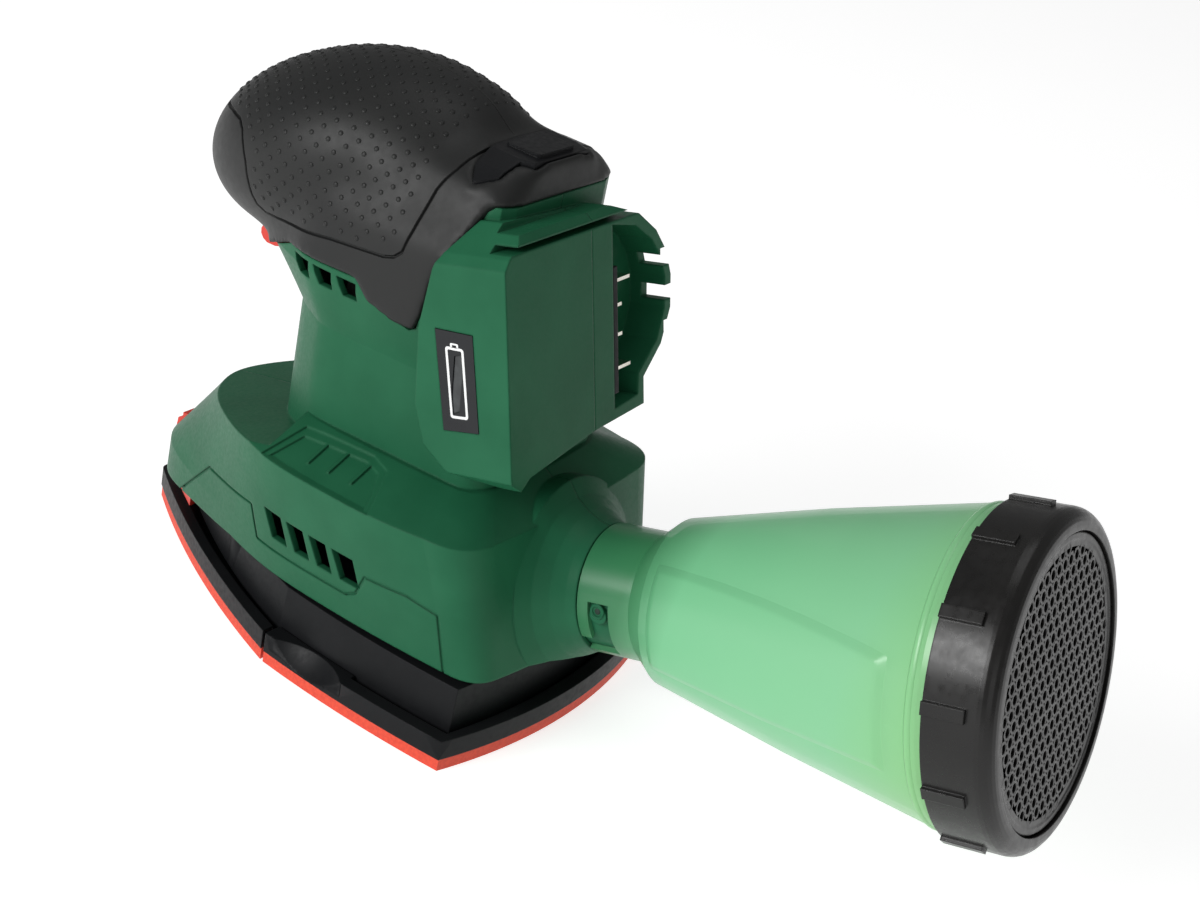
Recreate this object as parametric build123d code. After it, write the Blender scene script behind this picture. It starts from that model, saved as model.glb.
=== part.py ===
"""Cordless detail sander with an orbiting delta plate and a clip-on dust box.

Frame: +X is the tool's left, +Y its rear, +Z up. The origin is the middle of the
sanding face, on the floor. Lengths are in millimetres.
"""

import os
from math import cos, pi, radians, sin, tan

from build123d import *

os.makedirs("parts", exist_ok=True)

# Main layout
SEAM = 0.05                 # half the gap between the two housing halves
WALL = 2.2                  # housing wall
MOTOR_Y = -10.0             # vertical motor axis
ORBIT_R = 0.8               # eccentric offset: the plate orbits on a 1.6 mm circle

# Plate
PLATE_W = 51.0              # half width at the rear corners
PLATE_REAR = 55.0
REAR_SAG = 8.5              # bulge of the rear edge
SPLIT_Y = -8.5              # where the front tip is parted from the rear plate
SPLIT_W = 47.3
TIP_Y = -90.5
PAD_T = 3.5                 # hook-and-loop pad
RIM_TOP = 9.2
FLOOR_T = 3.0               # plate web above the pad
FLEX_Z = 5.2                # height of the front plate's hinge axis

# Base and neck
BASE_Z0 = 22.4
CREASE_Z = 59.0
NECK_Z0 = 64.5
NECK_A = 29.0
NECK_B = 30.0
FLARE_Z = 92.0

# Rear wall and dock lean
LEAN = 14.0
DOCK_O = (0.0, 53.4, 78.0)  # a point at the foot of the dock's rear face
DOCK_H = 57.7
DOCK_X = 38.0
STEP_X = -9.5               # the flat rear face ends here; the recess begins
BAY_D = -11.0               # floor of the recess, behind the rear face

# Dust outlet
TUBE_TILT = 14.7
TUBE_O = (0.0, 67.3, 41.9)

# Grip bulb
GRIP_C = (0.0, -33.7, 131.0)
GRIP_R = (34.0, 46.0, 26.8)
GRIP_TILT = 18.4
GRIP_T = 3.0


def save(shape, node):
    """Write one node as STEP."""
    export_step(shape, f"parts/{node}.step")


def upright(radius, z0, z1, x=0.0, y=0.0):
    """A vertical cylinder between two heights."""
    return Pos(x, y, (z0 + z1) / 2) * Cylinder(radius, z1 - z0)


def block(x0, x1, y0, y1, z0, z1):
    """An axis-aligned box between two corners."""
    return Pos((x0 + x1) / 2, (y0 + y1) / 2, (z0 + z1) / 2) * Box(x1 - x0, y1 - y0, z1 - z0)


def side_prism(points, x0, x1):
    """A (Y, Z) polygon pulled from x0 to x1."""
    face = Face(Wire.make_polygon([(0, y, z) for y, z in points], close=True))
    return Pos(x0, 0, 0) * extrude(face, amount=x1 - x0, dir=(1, 0, 0))


def plan_prism(face, z0, z1):
    """A flat (X, Y) face pulled from z0 to z1."""
    return Pos(0, 0, z0) * extrude(face, amount=z1 - z0, dir=(0, 0, 1))


def half(shape, side):
    """The left (+1) or right (-1) half of a shape, short of the seam."""
    reach = 300
    x0, x1 = (SEAM, reach) if side > 0 else (-reach, -SEAM)
    return shape & block(x0, x1, -reach, reach, -reach, reach)


def inset(points, gap):
    """Move the points of a half outline inward by gap, square to the outline."""
    moved = []
    last = len(points) - 1
    for i, (x, y) in enumerate(points):
        ax, ay = points[max(i - 1, 0)]
        bx, by = points[min(i + 1, last)]
        tx, ty = bx - ax, by - ay
        if i == 0:
            tx, ty = 1.0, 0.0
        if i == last:
            tx, ty = -1.0, 0.0
        size = (tx * tx + ty * ty) ** 0.5
        moved.append((max(x - gap * ty / size, 0.0), y + gap * tx / size))
    return moved


def round_nose(points, z):
    """A smooth curve from the left side round the nose to the right side."""
    left = [(-x, y) for x, y in reversed(points[1:])]
    return Edge.make_spline([Vector(x, y, z) for x, y in left + points])


def mirrored_face(points, z):
    """A face from a half outline that runs from the nose, round +X, to the rear."""
    side = Vector(*points[-3], z)
    end = Vector(*points[-2], z)
    turn = Edge.make_spline([side, end], tangents=[(0, 1, 0), (-1, 0.12, 0)])
    back = Edge.make_three_point_arc(end, Vector(*points[-1], z), Vector(-end.X, end.Y, z))
    return Face(Wire([round_nose(points[:-2], z), turn, back, turn.mirror(Plane.YZ)]))


def stacked(sections):
    """A solid lofted straight through (half outline, height) sections."""
    return loft([mirrored_face(points, z) for points, z in sections], ruled=True)


# Base ------------------------------------------------------------------------

BASE_LOW = [
    (0, -86.4), (9.0, -82.2), (20.8, -63.5), (29.0, -44.6), (37.8, -16.7),
    (40.4, 4.2), (41.4, 25.0), (41.6, 49.0), (33.5, 59.6), (0, 63.0),
]
BASE_KNEE = [
    (0, -85.0), (9.6, -81.2), (22.0, -63.0), (30.6, -44.5), (40.2, -17.0),
    (42.7, 4.2), (43.6, 25.0), (43.0, 46.5), (33.8, 56.7), (0, 59.6),
]
BASE_TOP = [
    (0, -60.5), (11.0, -58.6), (21.0, -53.8), (32.5, -42.5), (45.8, -18.0),
    (48.4, 4.0), (48.6, 23.0), (46.8, 36.0), (34.5, 49.6), (0, 51.0),
]
NECK_FOOT = [
    (0, -42.0), (12.5, -38.8), (22.5, -30.8), (28.0, -20.5), (30.2, -10.0),
    (30.6, 5.0), (30.6, 20.0), (30.2, 30.0), (22.0, 39.0), (0, 40.0),
]


def base_outer(gap=0.0):
    """The base's outside, or with a gap its hollow."""
    lift = gap * 0.6
    sides = [(BASE_LOW, 14.0), (BASE_KNEE, 27.0), (BASE_TOP, CREASE_Z - lift)]
    body = stacked([(inset(points, gap), z) for points, z in sides])
    roof = stacked([
        (inset(BASE_TOP, gap), CREASE_Z - lift),
        (inset(NECK_FOOT, gap), NECK_Z0 + 1.5 - lift),
    ])
    slope = side_prism(
        [(-19.0, 60.2 - gap), (-66.0, 51.4 - gap), (-99.0, 45.3 - gap), (-99.0, 90), (-19.0, 90)],
        -60, 60,
    )
    return body + roof - slope


def base_floor_cut():
    """All below the base's lower edge, which dips towards the nose."""
    return side_prism(
        [(-120, 10.6), (-82, 15.8), (-35, BASE_Z0), (90, BASE_Z0), (90, -20), (-120, -20)],
        -90, 90,
    )


# Neck ------------------------------------------------------------------------


def neck_face(a, b, rear, z, centre=MOTOR_Y):
    """Plan of the neck: a half ellipse in front and straight sides to the rear."""
    turn = 8.0
    nose = [(a * sin(t), centre - b * cos(t)) for t in (0, 0.35, 0.75, 1.15)]
    front = Edge.make_spline(
        [Vector(x, y, z) for x, y in nose + [(a, centre)]],
        tangents=[(1, 0, 0), (0, 1, 0)],
    )
    side = Edge.make_line(Vector(a, centre, z), Vector(a, rear - turn, z))
    k = turn * (1 - 0.7071)
    corner = Edge.make_three_point_arc(
        Vector(a, rear - turn, z), Vector(a - k, rear - k, z), Vector(a - turn, rear, z)
    )
    back = Edge.make_line(Vector(a - turn, rear, z), Vector(turn - a, rear, z))
    left = [front, side, corner]
    return Face(Wire(left + [back] + [e.mirror(Plane.YZ) for e in left]))


def neck_outer(gap=0.0):
    """The neck from the base up to the underside of the grip bulb."""
    low = loft([
        neck_face(NECK_A - gap, NECK_B - gap, 38.0 - gap, 50.0),
        neck_face(NECK_A - gap, NECK_B - gap, 38.0 - gap, FLARE_Z),
    ], ruled=True)
    high = loft([
        neck_face(NECK_A - gap, NECK_B - gap, 38.0 - gap, FLARE_Z),
        neck_face(33.2 - gap, 44.5 - gap, 32.0 - gap, 107.0),
    ], ruled=True)
    top = loft([
        neck_face(33.2 - gap, 44.5 - gap, 32.0 - gap, 107.0),
        neck_face(34.6 - gap, 42.0 - gap, 31.0 - gap, 126.0),
    ], ruled=True)
    return low + high + top


# Dock ------------------------------------------------------------------------

DOCK_PLANE = Plane(
    origin=DOCK_O,
    x_dir=(-1, 0, 0),
    z_dir=(0, cos(radians(LEAN)), sin(radians(LEAN))),
)


def dock_box(x0, x1, s0, s1, d0, d1):
    """A box in the leaning dock's own frame: across, up the face, and out of it."""
    size = Box(x1 - x0, s1 - s0, d1 - d0)
    return DOCK_PLANE * Pos(-(x0 + x1) / 2, (s0 + s1) / 2, (d0 + d1) / 2) * size


def dock_prism(points, d0, d1):
    """An (X, up-the-face) polygon pulled along the dock's outward normal."""
    face = Face(Wire.make_polygon([(-x, s, d0) for x, s in points], close=True))
    return DOCK_PLANE * extrude(face, amount=d1 - d0, dir=(0, 0, 1))


DOCK_SIDE = [
    (19.5, 124.0), (18.3, 108.0), (21.0, 88.0), (25.5, 78.5), (33.5, 74.2),
    (54.3, 74.8), (39.0, 136.0), (32.0, 141.0), (24.0, 141.0),
]


def dock_outline(gap=0.0):
    """The dock seen square to its rear face, as (X, up-the-face) points."""
    g = gap
    right = [
        (-24.0 + g, 5.5 + g), (-24.0 + g, 13.0), (-33.0 + g, 20.0), (-38.0 + g, 29.0),
        (-38.3 + g, 38.0), (-36.0 + g, 45.0), (-31.0 + g, 51.5), (-22.5 + g, 57.5 - g),
        (-11.0, 61.5 - g),
    ]
    left = [
        (27.0 - g, 63.5 - g), (36.0 - g, 57.0), (DOCK_X - g, 54.5), (DOCK_X - g, 1.0),
        (34.0 - g, -2.0 + g), (30.0, 0.5 + g), (0, 4.5 + g),
    ]
    return right + left


def dock_core():
    """The dock's solid mass before it is hollowed."""
    mass = side_prism(DOCK_SIDE, -50, DOCK_X) & dock_prism(dock_outline(), -45, 0.0)
    return mass - dock_box(-60, 60, DOCK_H + 3.9, DOCK_H + 12, -8.0, 8)


def dock_hollow():
    """Space inside the dock for the electronics."""
    inner = [
        (22.2, 121.0), (20.9, 108.0), (23.5, 89.5), (28.5, 80.8), (48.8, 79.8), (37.0, 126.0),
        (26.0, 131.0),
    ]
    prism = side_prism(inner, -35.5, DOCK_X - WALL) & dock_prism(dock_outline(WALL), -45, -4.0)
    return prism - dock_box(-45, STEP_X + 2.2, -10, 70, BAY_D - 2.0, 0)


def bay_cut():
    """The battery bay: the sunken right part, the rail slots and the mouth."""
    bay = dock_prism(
        [
            (STEP_X, 7.8), (-21.0, 8.8), (-21.5, 14.5), (-31.0, 21.5), (-35.0, 29.5),
            (-35.3, 38.0), (-33.2, 44.0), (-28.8, 49.5), (-21.0, 54.6), (STEP_X, 57.0),
        ],
        BAY_D, 5.0,
    )
    mouth = dock_box(-45, -32, 31.5, 35.5, -7.5, 5)
    hook_gap = dock_box(-45, -34.5, 23.0, 26.0, -7.5, 5) + dock_box(-45, -33, 41.0, 46.0, -7.5, 5)
    slot = dock_box(-22, DOCK_X - 1.6, DOCK_H, DOCK_H + 1.7, -6.5, 5)
    return bay + mouth + hook_gap + slot


# Grip ------------------------------------------------------------------------


def bulb(gap=0.0):
    """The egg-shaped grip bulb, or with a gap a smaller one inside it."""
    a, b, c = (r - gap for r in GRIP_R)
    egg = scale(Sphere(10), by=(a / 10, b / 10, c / 10))
    return Pos(*GRIP_C) * Rot(GRIP_TILT, 0, 0) * egg


def cap_level(half_w, y1, z0, z1, gap):
    """One level of the grip's rear end: its top may slope, and its rear corners are round."""
    w = half_w - gap
    y1 = y1 - gap
    y0, r = 4.0, 6.0
    k = r * (1 - 0.7071)

    def at(x, y):
        return Vector(x, y, z0 + (z1 - z0) * (y - y0) / (y1 - y0))

    right = [
        Edge.make_line(at(w, y0), at(w, y1 - r)),
        Edge.make_line(at(w, y1 - r), at(w - k, y1 - k)),
        Edge.make_line(at(w - k, y1 - k), at(w - r, y1)),
    ]
    front = Edge.make_line(at(-w, y0), at(w, y0))
    rear = Edge.make_line(at(w - r, y1), at(r - w, y1))
    return Face(Wire([front] + right + [rear] + [e.mirror(Plane.YZ) for e in right]))


def cap_block(gap=0.0):
    """The hard rear end of the grip, wide at its foot and narrow on top."""
    levels = [
        cap_level(26.8, 29.6, 139.8, 139.8, gap),
        cap_level(26.5, 29.4, 141.6 - gap * 0.3, 141.6 - gap * 0.3, gap),
        cap_level(24.4, 29.3, 144.4 - gap * 0.6, 144.0 - gap * 0.6, gap),
        cap_level(19.6, 28.9, 147.6 - gap, 146.8 - gap, gap),
        cap_level(13.0, 28.4, 150.0 - gap, 148.9 - gap, gap),
    ]
    return loft(levels, ruled=True)


def rear_wall(gap=0.0):
    """The upright green wall under the grip's rear end."""
    levels = [
        cap_level(26.0, 29.3, z, z, gap) for z in (104.0, 139.8 - gap * 0.5)
    ]
    return loft(levels, ruled=True)


def grip_mass(gap=0.0):
    """Everything the soft grip covers."""
    cheeks = loft([
        neck_face(34.6 - gap, 42.0 - gap, 31.0 - gap, 104.0, -12.0),
        neck_face(34.2 - gap, 38.0 - gap, 30.5 - gap, 126.0, -12.0),
    ], ruled=True)
    upper = loft([
        neck_face(34.2 - gap, 38.0 - gap, 30.5 - gap, 126.0, -12.0),
        neck_face(25.5 - gap, 26.0 - gap, 29.8 - gap, 141.0 - gap, -12.0),
    ], ruled=True)
    return bulb(gap) + cheeks + upper + cap_block(gap)


# The line where the soft grip ends and the green housing begins, from front to rear.
GRIP_EDGE = [
    (-95.0, 92.0), (-60.0, 96.5), (-43.0, 104.5), (-31.0, 110.4), (-6.0, 111.0),
    (-1.5, 106.4), (11.5, 103.0), (14.0, 104.6), (15.8, 110.0), (17.3, 121.0),
    (20.0, 126.0), (24.5, 138.2), (26.2, 139.9), (40.0, 139.9),
]


def band(points, width, x0, x1):
    """A strip of the given width along a (Y, Z) line, pulled from x0 to x1."""
    strip = None
    for (y0, z0), (y1, z1) in zip(points, points[1:]):
        length = ((y1 - y0) ** 2 + (z1 - z0) ** 2) ** 0.5
        ny = -(z1 - z0) / length * width / 2
        nz = (y1 - y0) / length * width / 2
        quad = [(y0 + ny, z0 + nz), (y1 + ny, z1 + nz), (y1 - ny, z1 - nz), (y0 - ny, z0 - nz)]
        piece = side_prism(quad, x0, x1)
        strip = piece if strip is None else strip + piece
    return strip


def above_edge(shift=0.0):
    """The region of the soft grip, seen from the side, pulled across the tool."""
    line = [(y, z + shift) for y, z in GRIP_EDGE]
    return side_prism(line + [(40.0, 175.0), (-95.0, 175.0)], -60, 60)


# Dust outlet -----------------------------------------------------------------

TUBE_PLANE = Plane(
    origin=TUBE_O,
    x_dir=(1, 0, 0),
    z_dir=(0, cos(radians(TUBE_TILT)), sin(radians(TUBE_TILT))),
)


def turned(profile):
    """A solid of revolution about the dust tube, from (radius, along) points."""
    face = Face(Wire.make_polygon([(r, 0, h) for r, h in profile], close=True))
    return TUBE_PLANE * revolve(face, axis=Axis.Z)


def along_tube(radius, h0, h1):
    """A cylinder on the dust tube's axis."""
    return TUBE_PLANE * Pos(0, 0, (h0 + h1) / 2) * Cylinder(radius, h1 - h0)


def collar():
    """The housing's flared collar round the outlet."""
    return turned([
        (0, -18), (28.0, -18), (28.0, -12.5), (23.5, -10.2), (20.3, -6.8), (18.3, -3.2),
        (17.3, -0.5), (0, -0.5),
    ])


LUG_ANGLE = 2.0             # where the first bayonet lug sits, round the tube's axis from +X
LUG_H = 6.2


# Housing ---------------------------------------------------------------------

VENT_SLOTS = [(-17.6, -10.8), (-8.6, -2.4), (-0.2, 5.8), (8.0, 15.4)]


def base_vents():
    """Four slanted air slots low in each side of the base."""
    cut = None
    for y0, y1 in VENT_SLOTS:
        quad = [(y0, 42.6), (y1, 42.6), (y1 + 2.6, 34.4), (y0 + 3.4, 34.4)]
        piece = side_prism(quad, -60, -36) + side_prism(quad, 36, 60)
        cut = piece if cut is None else cut + piece
    return cut


def neck_vents():
    """Three slots under the grip on each side."""
    cut = None
    for k in range(3):
        y0 = -28.6 + 8.2 * k
        quad = [(y0, 109.2), (y0 + 6.4, 109.2), (y0 + 7.0, 104.4), (y0 + 2.4, 104.4)]
        piece = side_prism(quad, -50, -20) + side_prism(quad, 20, 50)
        cut = piece if cut is None else cut + piece
    return cut


PANEL_EDGE = [(46.6, -19.2), (32.6, -15.2), (32.0, 7.4), (34.4, 13.6), (43.4, 17.4), (48.9, 19.6)]
PANEL_FLOOR = [(46.6, -17.4), (35.0, -13.6), (34.0, 7.0), (35.8, 12.0), (43.0, 15.8), (48.9, 18.0)]


def shoulder_panel(edge, depth, side):
    """A pocket in one of the base's shoulders, down to the crease."""
    outline = edge + [(60, edge[-1][1]), (60, edge[0][1])]
    face = Face(Wire.make_polygon([(side * x, y, 0) for x, y in outline], close=True))
    pocket = plan_prism(face, CREASE_Z - 0.2, 70)
    return pocket & (base_outer() - base_outer(depth))


def shoulder_panels():
    """The stepped pockets in the base's shoulders, with three ribs left standing in each."""
    cuts = []
    for side in (-1, 1):
        low, high = min(side * 34, side * 42), max(side * 34, side * 42)
        ribs = joined([block(low, high, y, y + 0.8, 40, 70) for y in (-6.6, 0.2, 7.8)])
        cuts.append(shoulder_panel(PANEL_EDGE, 0.6, side))
        cuts.append(shoulder_panel(PANEL_FLOOR, 1.2, side) - ribs)
    return joined(cuts)


# The line in each side of the base that sets off its lower band.
SIDE_LINE = [
    (-73.0, 11.5), (-65.1, 19.7), (-49.8, 35.4), (-23.8, 39.9), (-21.0, 30.2), (13.4, 30.6), (16.8, 32.7),
    (19.7, 39.3), (33.1, 40.2), (42.8, 38.6), (46.9, 20.0),
]


def side_grooves():
    """The narrow grooves in the base's sides."""
    skin = base_outer() - base_outer(0.45)
    return (band(SIDE_LINE, 0.75, -60, -18) + band(SIDE_LINE, 0.75, 18, 60)) & skin


BUTTON_PLANE = Plane(
    origin=(0, -47.7, 100.0),
    x_dir=(1, 0, 0),
    z_dir=(0, -cos(radians(44)), -sin(radians(44))),
)


def button_block(half_w, half_h, d0, d1, round_r):
    """A rounded block square to the neck's flare, at the button."""
    body = Pos(0, 0, (d0 + d1) / 2) * Box(2 * half_w, 2 * half_h, d1 - d0)
    body = fillet(body.edges().filter_by(Axis.Z), round_r)
    return BUTTON_PLANE * body


def housing_mass():
    """The green housing, solid."""
    low = base_outer() + neck_outer() + rear_wall() + dock_core() + collar()
    return low - base_floor_cut()


def housing_void():
    """The hollow of the green housing."""
    low = base_outer(WALL)
    tube = along_tube(16.0, -30, 5)
    bulb_room = bulb(GRIP_T + 1.6)
    return low + neck_outer(WALL) + rear_wall(WALL) + dock_hollow() + tube + bulb_room


# Y, Z and reach of each housing screw's boss
SCREW_SPOTS = [(30.0, 97.0, 36.0), (-54.0, 36.0, 26.0), (31.0, 66.0, 29.5), (27.5, 127.0, 33.0)]
SCREW_R = 1.75


def across(radius, x0, x1, y, z):
    """A cylinder across the tool."""
    return Pos((x0 + x1) / 2, y, z) * Rot(0, 90, 0) * Cylinder(radius, x1 - x0)


def joined(shapes):
    """The union of a list of shapes."""
    total = shapes[0]
    for shape in shapes[1:]:
        total = total + shape
    return total


def screw_bosses():
    """Bosses across the housing that take its screws."""
    return joined([across(3.8, -reach, reach, y, z) for y, z, reach in SCREW_SPOTS])


def screw_holes():
    """Screw bores, with head pockets from the right side."""
    bores = [across(SCREW_R + 0.02, -16, 14, y, z) for y, z, _ in SCREW_SPOTS]
    pockets = [across(3.1, -60, -15, y, z) for y, z, _ in SCREW_SPOTS]
    return joined(bores + pockets)


def housing_screws():
    """Pan-head screws that hold the halves together."""
    made = []
    for y, z, _ in SCREW_SPOTS:
        shank = across(SCREW_R, -15.2, 13.6, y, z)
        head = across(2.9, -17.2, -15.05, y, z)
        drive = across(1.3, -17.5, -16.2, y, z)
        made.append(shank + head - drive)
    return joined(made)


def build_housing():
    """Both green housing halves as one shape, still to be parted."""
    solid = housing_mass()
    body = solid - housing_void()
    body = body + (screw_bosses() & solid)
    body = body - bay_cut() - base_vents() - neck_vents() - shoulder_panels() - side_grooves()
    body = body - above_edge(-0.1) - bulb(-0.1) - screw_holes()
    body = body - button_block(7.4, 5.4, -30, 12, 1.5)
    body = body - upright(MOUNT_R + 0.1, MOUNT_Z - 0.1, MOUNT_Z + 4.7, y=MOTOR_Y)
    lever_slot = block(-4.6, 4.6, -95, -76.4, 0, 35.0)
    return body - label_pocket() - lever_slot + post_seats()


def post_seats():
    """Sockets under the base's roof for the springy posts."""
    seats = joined([upright(5.4, 38.0, 62.0, x, y) - upright(3.6, 37, 44.1, x, y) for x, y in POSTS])
    return seats & base_outer(0.5)


# Soft grip -------------------------------------------------------------------


def rear_swell(gap=0.0):
    """The second swelling of the grip, behind the bulb."""
    a, b, c = 31.0 - gap, 25.6 - gap, 28.0 - gap
    return Pos(0, -8.4, 131.0) * scale(Sphere(10), by=(a / 10, b / 10, c / 10))


def build_grip():
    """Both soft grip halves as one shape, still to be parted."""
    skin = grip_skin()
    core = grip_skin(GRIP_T)
    body = (skin & above_edge()) - core - neck_outer(WALL)
    body = body - button_block(7.4, 5.4, -30, 12, 1.5)
    return body - tile_pocket()


TILE = [
    (0, 27.3), (12.3, 27.3), (13.8, 23.8), (21.5, 23.4), (25.3, 18.2), (21.0, 15.2), (10.0, 13.2),
    (0, 12.8),
]
TILE_T = 1.4


def tile_prism(gap):
    """The tile's outline in plan, pulled upright."""
    cy = 20.0
    half_line = [(x * (1 - gap / 25), cy + (y - cy) * (1 - gap / 7)) for x, y in TILE]
    ring = half_line + [(-x, y) for x, y in reversed(half_line[1:-1])]
    return plan_prism(Face(Wire.make_polygon([(x, y, 0) for x, y in ring], close=True)), 141, 170)


def grip_skin(gap=0.0):
    """The grip's whole outside, or with a gap a smaller one inside it."""
    return grip_mass(gap) + rear_swell(gap)


def tile_pocket():
    """Room for the tile in the grip's rear end."""
    return tile_prism(0.0) - grip_skin(TILE_T)


def top_tile():
    """The hard tile across the grip's rear end, with a raised square pad."""
    slab = (tile_prism(0.25) & grip_skin()) - grip_skin(TILE_T - 0.1)
    pad = block(-8.0, 8.0, 14.8, 25.4, 148.0, 150.1)
    pad = fillet(pad.edges().filter_by(Axis.Z), 1.2)
    return slab + (pad - grip_skin(0.4))


# Charge display --------------------------------------------------------------

LABEL = [(23.2, 109.8), (34.4, 112.1), (41.3, 88.0), (30.9, 84.8)]


def label_pocket():
    """A shallow seat for the charge display in the dock's left side."""
    return side_prism(LABEL, DOCK_X - 0.8, DOCK_X + 3)


def charge_panel():
    """The charge display's cover, with a slot for its lamps."""
    cx = sum(y for y, _ in LABEL) / 4
    cz = sum(z for _, z in LABEL) / 4
    small = [(cx + (y - cx) * 0.985, cz + (z - cz) * 0.99) for y, z in LABEL]
    slot = [(cx + (y - cx) * 0.24, cz - 0.6 + (z - cz) * 0.62) for y, z in LABEL]
    return side_prism(small, DOCK_X - 0.75, DOCK_X + 0.15) - side_prism(slot, 30, DOCK_X + 3)


def charge_lamps():
    """The strip of charge lamps in the display's slot."""
    cx = sum(y for y, _ in LABEL) / 4
    cz = sum(z for _, z in LABEL) / 4
    slot = [(cx + (y - cx) * 0.225, cz - 0.6 + (z - cz) * 0.61) for y, z in LABEL]
    return side_prism(slot, DOCK_X - 0.78, DOCK_X - 0.15)


# Switch, terminals and electronics -------------------------------------------


def switch_button():
    """The red button under the bulb, with three grip ribs."""
    cap = button_block(6.9, 4.9, -2.0, 3.2, 1.4)
    flange = button_block(8.6, 6.6, -7.0, -5.0, 1.4)
    stem = button_block(6.2, 4.2, -9.0, -1.5, 1.4)
    ribs = [
        BUTTON_PLANE * Pos(0, -3.0 + 3.0 * k, 3.2) * Rot(0, 90, 0) * Cylinder(0.7, 11)
        for k in range(3)
    ]
    return joined([cap, flange, stem] + ribs)


def switch_body():
    """The switch module behind the button."""
    case = button_block(8.2, 5.8, -24.0, -12.4, 0.8)
    lug = BUTTON_PLANE * Pos(0, 0, -26.5) * Box(9, 1.0, 6)
    return case + lug


BLADES = [(41.2, 8.8), (34.6, 4.8), (26.6, 4.9), (17.5, 8.8)]


def terminal_block():
    """The black strip that carries the battery blades."""
    body = dock_box(STEP_X - 2.0, STEP_X - 0.1, 11.8, 45.8, -10.9, 0.0)
    return body - joined([blade(s, reach + 0.5, 0.05) for s, reach in BLADES])


def blade(s, reach, play=0.0):
    """One battery blade, standing out of the strip across the bay."""
    x0 = STEP_X - 2.0 - reach
    return dock_box(x0, STEP_X - 0.3, s - 0.45 - play, s + 0.45 + play, -7.5 - play, -1.8 + play)


def terminal_blades():
    """The four battery blades, two long and two short."""
    return joined([blade(s, reach) for s, reach in BLADES])


def control_board():
    """The electronics board inside the dock, with its larger parts."""
    board = dock_box(-6.0, 31.0, 12.0, 48.0, -9.4, -7.8)
    parts = [
        dock_box(0.0, 9.0, 16.0, 25.0, -12.5, -9.4),
        dock_box(14.0, 26.0, 30.0, 40.0, -11.9, -9.4),
        dock_box(2.0, 8.0, 34.0, 44.0, -13.0, -9.4),
    ]
    return joined([board] + parts)


# Motor -----------------------------------------------------------------------

MOUNT_R = 28.0
MOUNT_Z = 66.0
CAN_Z0 = MOUNT_Z + 4.8
CAN_Z1 = 107.0


def motor_mount():
    """The plate in the neck that carries the motor and guides the fan's air."""
    plate = upright(MOUNT_R, MOUNT_Z, MOUNT_Z + 4.6, y=MOTOR_Y)
    return plate - upright(7.1, 40, 90, y=MOTOR_Y) - joined([
        upright(2.2, 40, 90, x=11.5 * cos(a), y=MOTOR_Y + 11.5 * sin(a))
        for a in (0.6, 0.6 + pi / 2, 0.6 + pi, 0.6 + 3 * pi / 2)
    ])


def motor_can():
    """The motor's steel can, open at the top, with air slots."""
    can = upright(18.5, CAN_Z0, CAN_Z1, y=MOTOR_Y) - upright(17.3, CAN_Z0 + 1.4, 120, y=MOTOR_Y)
    slots = joined([
        Pos(0, MOTOR_Y, CAN_Z0 + 5.5) * Rot(0, 0, 45 + 90 * k) * Pos(18, 0, 0) * Box(6, 9, 5)
        for k in range(4)
    ])
    return can - upright(6.6, 60, CAN_Z0 + 3, y=MOTOR_Y) - slots


def motor_magnets():
    """Two curved magnets inside the can."""
    ring = ring_z(17.25, 13.6, CAN_Z0 + 5, CAN_Z1 - 7)
    return ring - Pos(0, MOTOR_Y, 90) * Box(60, 9, 60)


def motor_end():
    """The plastic brush carrier that closes the can's top."""
    plug = upright(17.2, CAN_Z1 - 3, CAN_Z1 + 0.1, y=MOTOR_Y)
    lid = upright(18.5, CAN_Z1 + 0.1, CAN_Z1 + 1.9, y=MOTOR_Y)
    boss = upright(8.0, CAN_Z1 + 1.9, CAN_Z1 + 7, y=MOTOR_Y)
    tabs = [
        block(x - 0.4, x + 0.4, MOTOR_Y - 2, MOTOR_Y + 2, CAN_Z1 + 1.5, CAN_Z1 + 7)
        for x in (-14, 14)
    ]
    bore = upright(5.55, CAN_Z1 - 4, CAN_Z1 + 5.6, y=MOTOR_Y)
    return joined([plug, lid, boss] + tabs) - bore


def ring_z(r_out, r_in, z0, z1, y=MOTOR_Y):
    """An upright ring."""
    return upright(r_out, z0, z1, y=y) - upright(r_in, z0 - 1, z1 + 1, y=y)


ARMATURE_Z0 = CAN_Z0 + 8.0
ARMATURE_Z1 = CAN_Z1 - 9.0


def rotor():
    """The motor shaft with its armature."""
    shaft = upright(2.5, 34.2, CAN_Z1 + 5.0, y=MOTOR_Y)
    core = upright(12.9, ARMATURE_Z0, ARMATURE_Z1, y=MOTOR_Y)
    slots = joined([
        Pos(0, MOTOR_Y, 90.0) * Rot(0, 0, 72 * k) * Pos(11.2, 0, 0) * Box(5.0, 2.2, 60)
        for k in range(5)
    ])
    return shaft + (core - slots)


def armature_windings():
    """Copper end turns below and above the armature core."""
    low = ring_z(11.6, 4.2, ARMATURE_Z0 - 4.5, ARMATURE_Z0 - 0.05)
    high = ring_z(11.6, 4.2, ARMATURE_Z1 + 0.05, ARMATURE_Z1 + 4.0)
    return low + high


FAN_Z = 54.0


def fan():
    """The fan that cools the motor, with nine blades on a hub plate."""
    disc = ring_z(22.5, 2.55, FAN_Z, FAN_Z + 1.4) + ring_z(6.5, 2.55, FAN_Z, FAN_Z + 8.0)
    vanes = joined([
        Pos(0, MOTOR_Y, FAN_Z + 4.4) * Rot(0, 0, 40 * k) * Pos(15.0, 0, 0) * Rot(0, 0, 24)
        * Box(13, 1.2, 7.0)
        for k in range(9)
    ])
    return disc + vanes


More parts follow.
